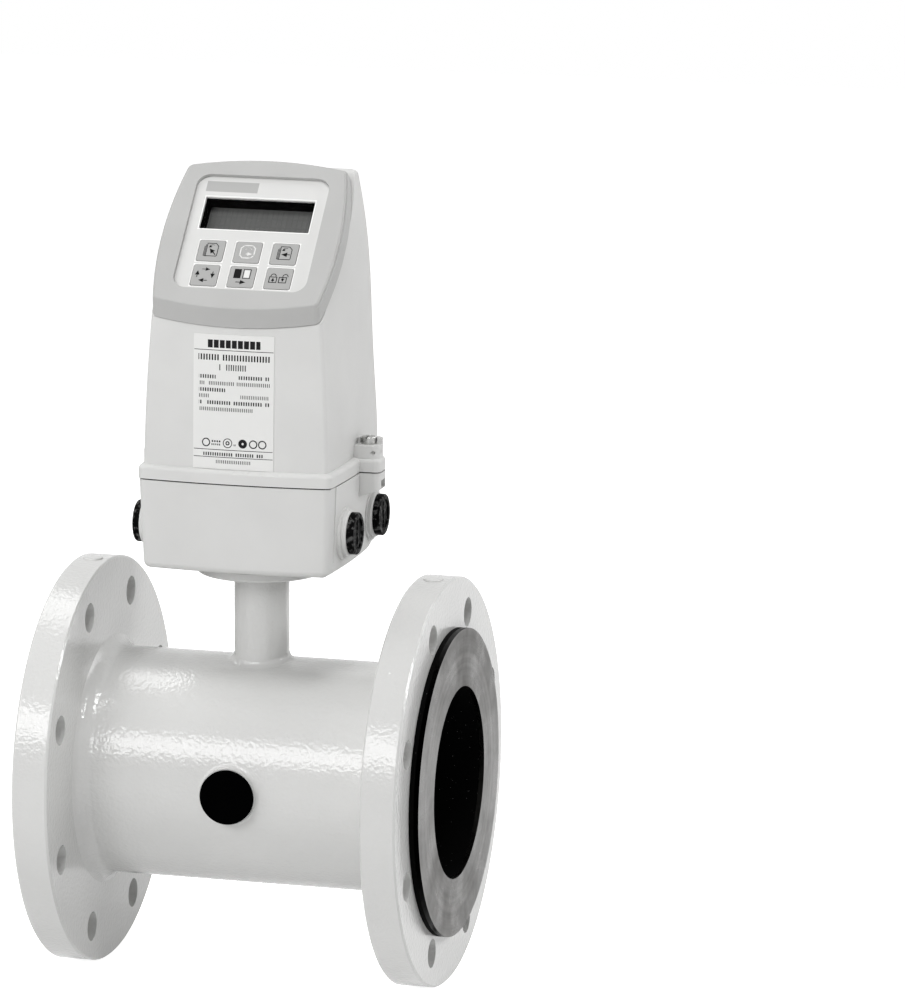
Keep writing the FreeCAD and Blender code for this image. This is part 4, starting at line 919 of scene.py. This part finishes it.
# %% A strength that only the camera's view gets
def white_to_the_eye(nodes, links, straight=1.0, reflected=1.0):
    """One strength for what the camera sees straight, one for gloss and glass, else nothing."""
    path = nodes.new("ShaderNodeLightPath")
    seen = None
    for name, strength in (("Is Camera Ray", straight), ("Is Glossy Ray", reflected),
                           ("Is Transmission Ray", reflected)):
        part = nodes.new("ShaderNodeMath")
        part.operation = "MULTIPLY_ADD"
        links.new(path.outputs[name], part.inputs[0])
        part.inputs[1].default_value = strength
        part.inputs[2].default_value = 0.0
        if seen:
            links.new(seen, part.inputs[2])
        seen = part.outputs[0]
    return seen


# %% Floor
floor_level = cad_low.z
floor_size = 8.0
glow_straight, glow_reflected = 0.9, 0.5
floor_finish = new_finish("floor_paper", (0.86, 0.86, 0.86), 0.9)
shader_of(floor_finish).inputs["Emission Color"].default_value = (1, 1, 1, 1)
floor_glow = white_to_the_eye(floor_finish.node_tree.nodes, floor_finish.node_tree.links,
                              glow_straight, glow_reflected)
join(floor_finish, floor_glow, shader_of(floor_finish).inputs["Emission Strength"])
bm = bmesh.new()
bmesh.ops.create_grid(bm, x_segments=1, y_segments=1, size=floor_size / 2,
                      matrix=Matrix.Translation(Vector((0, 0, floor_level))))
floor_mesh = bpy.data.meshes.new("floor")
bm.to_mesh(floor_mesh)
bm.free()
floor_mesh.materials.append(floor_finish)
floor = bpy.data.objects.new("floor", floor_mesh)
bpy.context.scene.collection.objects.link(floor)
print("floor at", round(floor_level, 4), "m")

# %% World
world_light = 0.14
world = bpy.data.worlds.new("studio")
world.use_nodes = True
bpy.context.scene.world = world
sky = world.node_tree.nodes["Background"]
sky.inputs["Color"].default_value = (1, 1, 1, 1)
seen = white_to_the_eye(world.node_tree.nodes, world.node_tree.links)
level = world.node_tree.nodes.new("ShaderNodeMapRange")
level.inputs["To Min"].default_value = world_light
level.inputs["To Max"].default_value = 1.0
world.node_tree.links.new(seen, level.inputs["Value"])
world.node_tree.links.new(level.outputs["Result"], sky.inputs["Strength"])
print("the world lights the meter with", world_light)

# %% [markdown]
# Six lamps stand for the studio's soft boxes, and the pipe tells where two of them are, because it
# mirrors them like a round glass. The bright band along its middle is a wide lamp a little to the
# left of the camera. The soft patch on its upper left is a lamp above and behind, whose right edge
# ends before the pipe does. One at the left lights the flanges' rims, a narrow one at the right and
# a larger one behind it light the hood's side and the right flange's face, and a small one overhead
# brings out the sloping face.

# %% Lamps
def soft_box(name, place, power, width, height, aim=Vector((0, 0, 0.1))):
    lamp = bpy.data.lights.new(name, "AREA")
    lamp.shape = "RECTANGLE"
    lamp.size, lamp.size_y = width, height
    lamp.energy = power
    box = bpy.data.objects.new(name, lamp)
    bpy.context.scene.collection.objects.link(box)
    away = (place - aim).normalized()
    box.matrix_world = Matrix.Translation(place) @ away.to_track_quat("Z", "Y").to_matrix().to_4x4()
    return box


# Each lamp's place in metres, power in watts, width and height
soft_box("box_front", Vector((-0.62, -2.05, 1.15)), 19, 1.4, 0.7)
soft_box("box_left", Vector((-1.75, -1.35, 1.10)), 8.5, 1.0, 1.0)
soft_box("box_behind", Vector((-1.0, 0.5, 1.9)), 11, 0.9, 1.0)
soft_box("box_right", Vector((1.8, 0.1, 1.1)), 9.5, 0.4, 0.6)
soft_box("box_right_rear", Vector((1.7, 1.25, 0.9)), 10, 1.0, 1.0)
soft_box("box_over", Vector((0.25, -0.75, 1.9)), 13, 0.6, 0.5)

# %% [markdown]
# ## Settings
#
# The Standard view shows a colour as it was written.

# %% Finish
bpy.context.scene.view_settings.view_transform = "Standard"
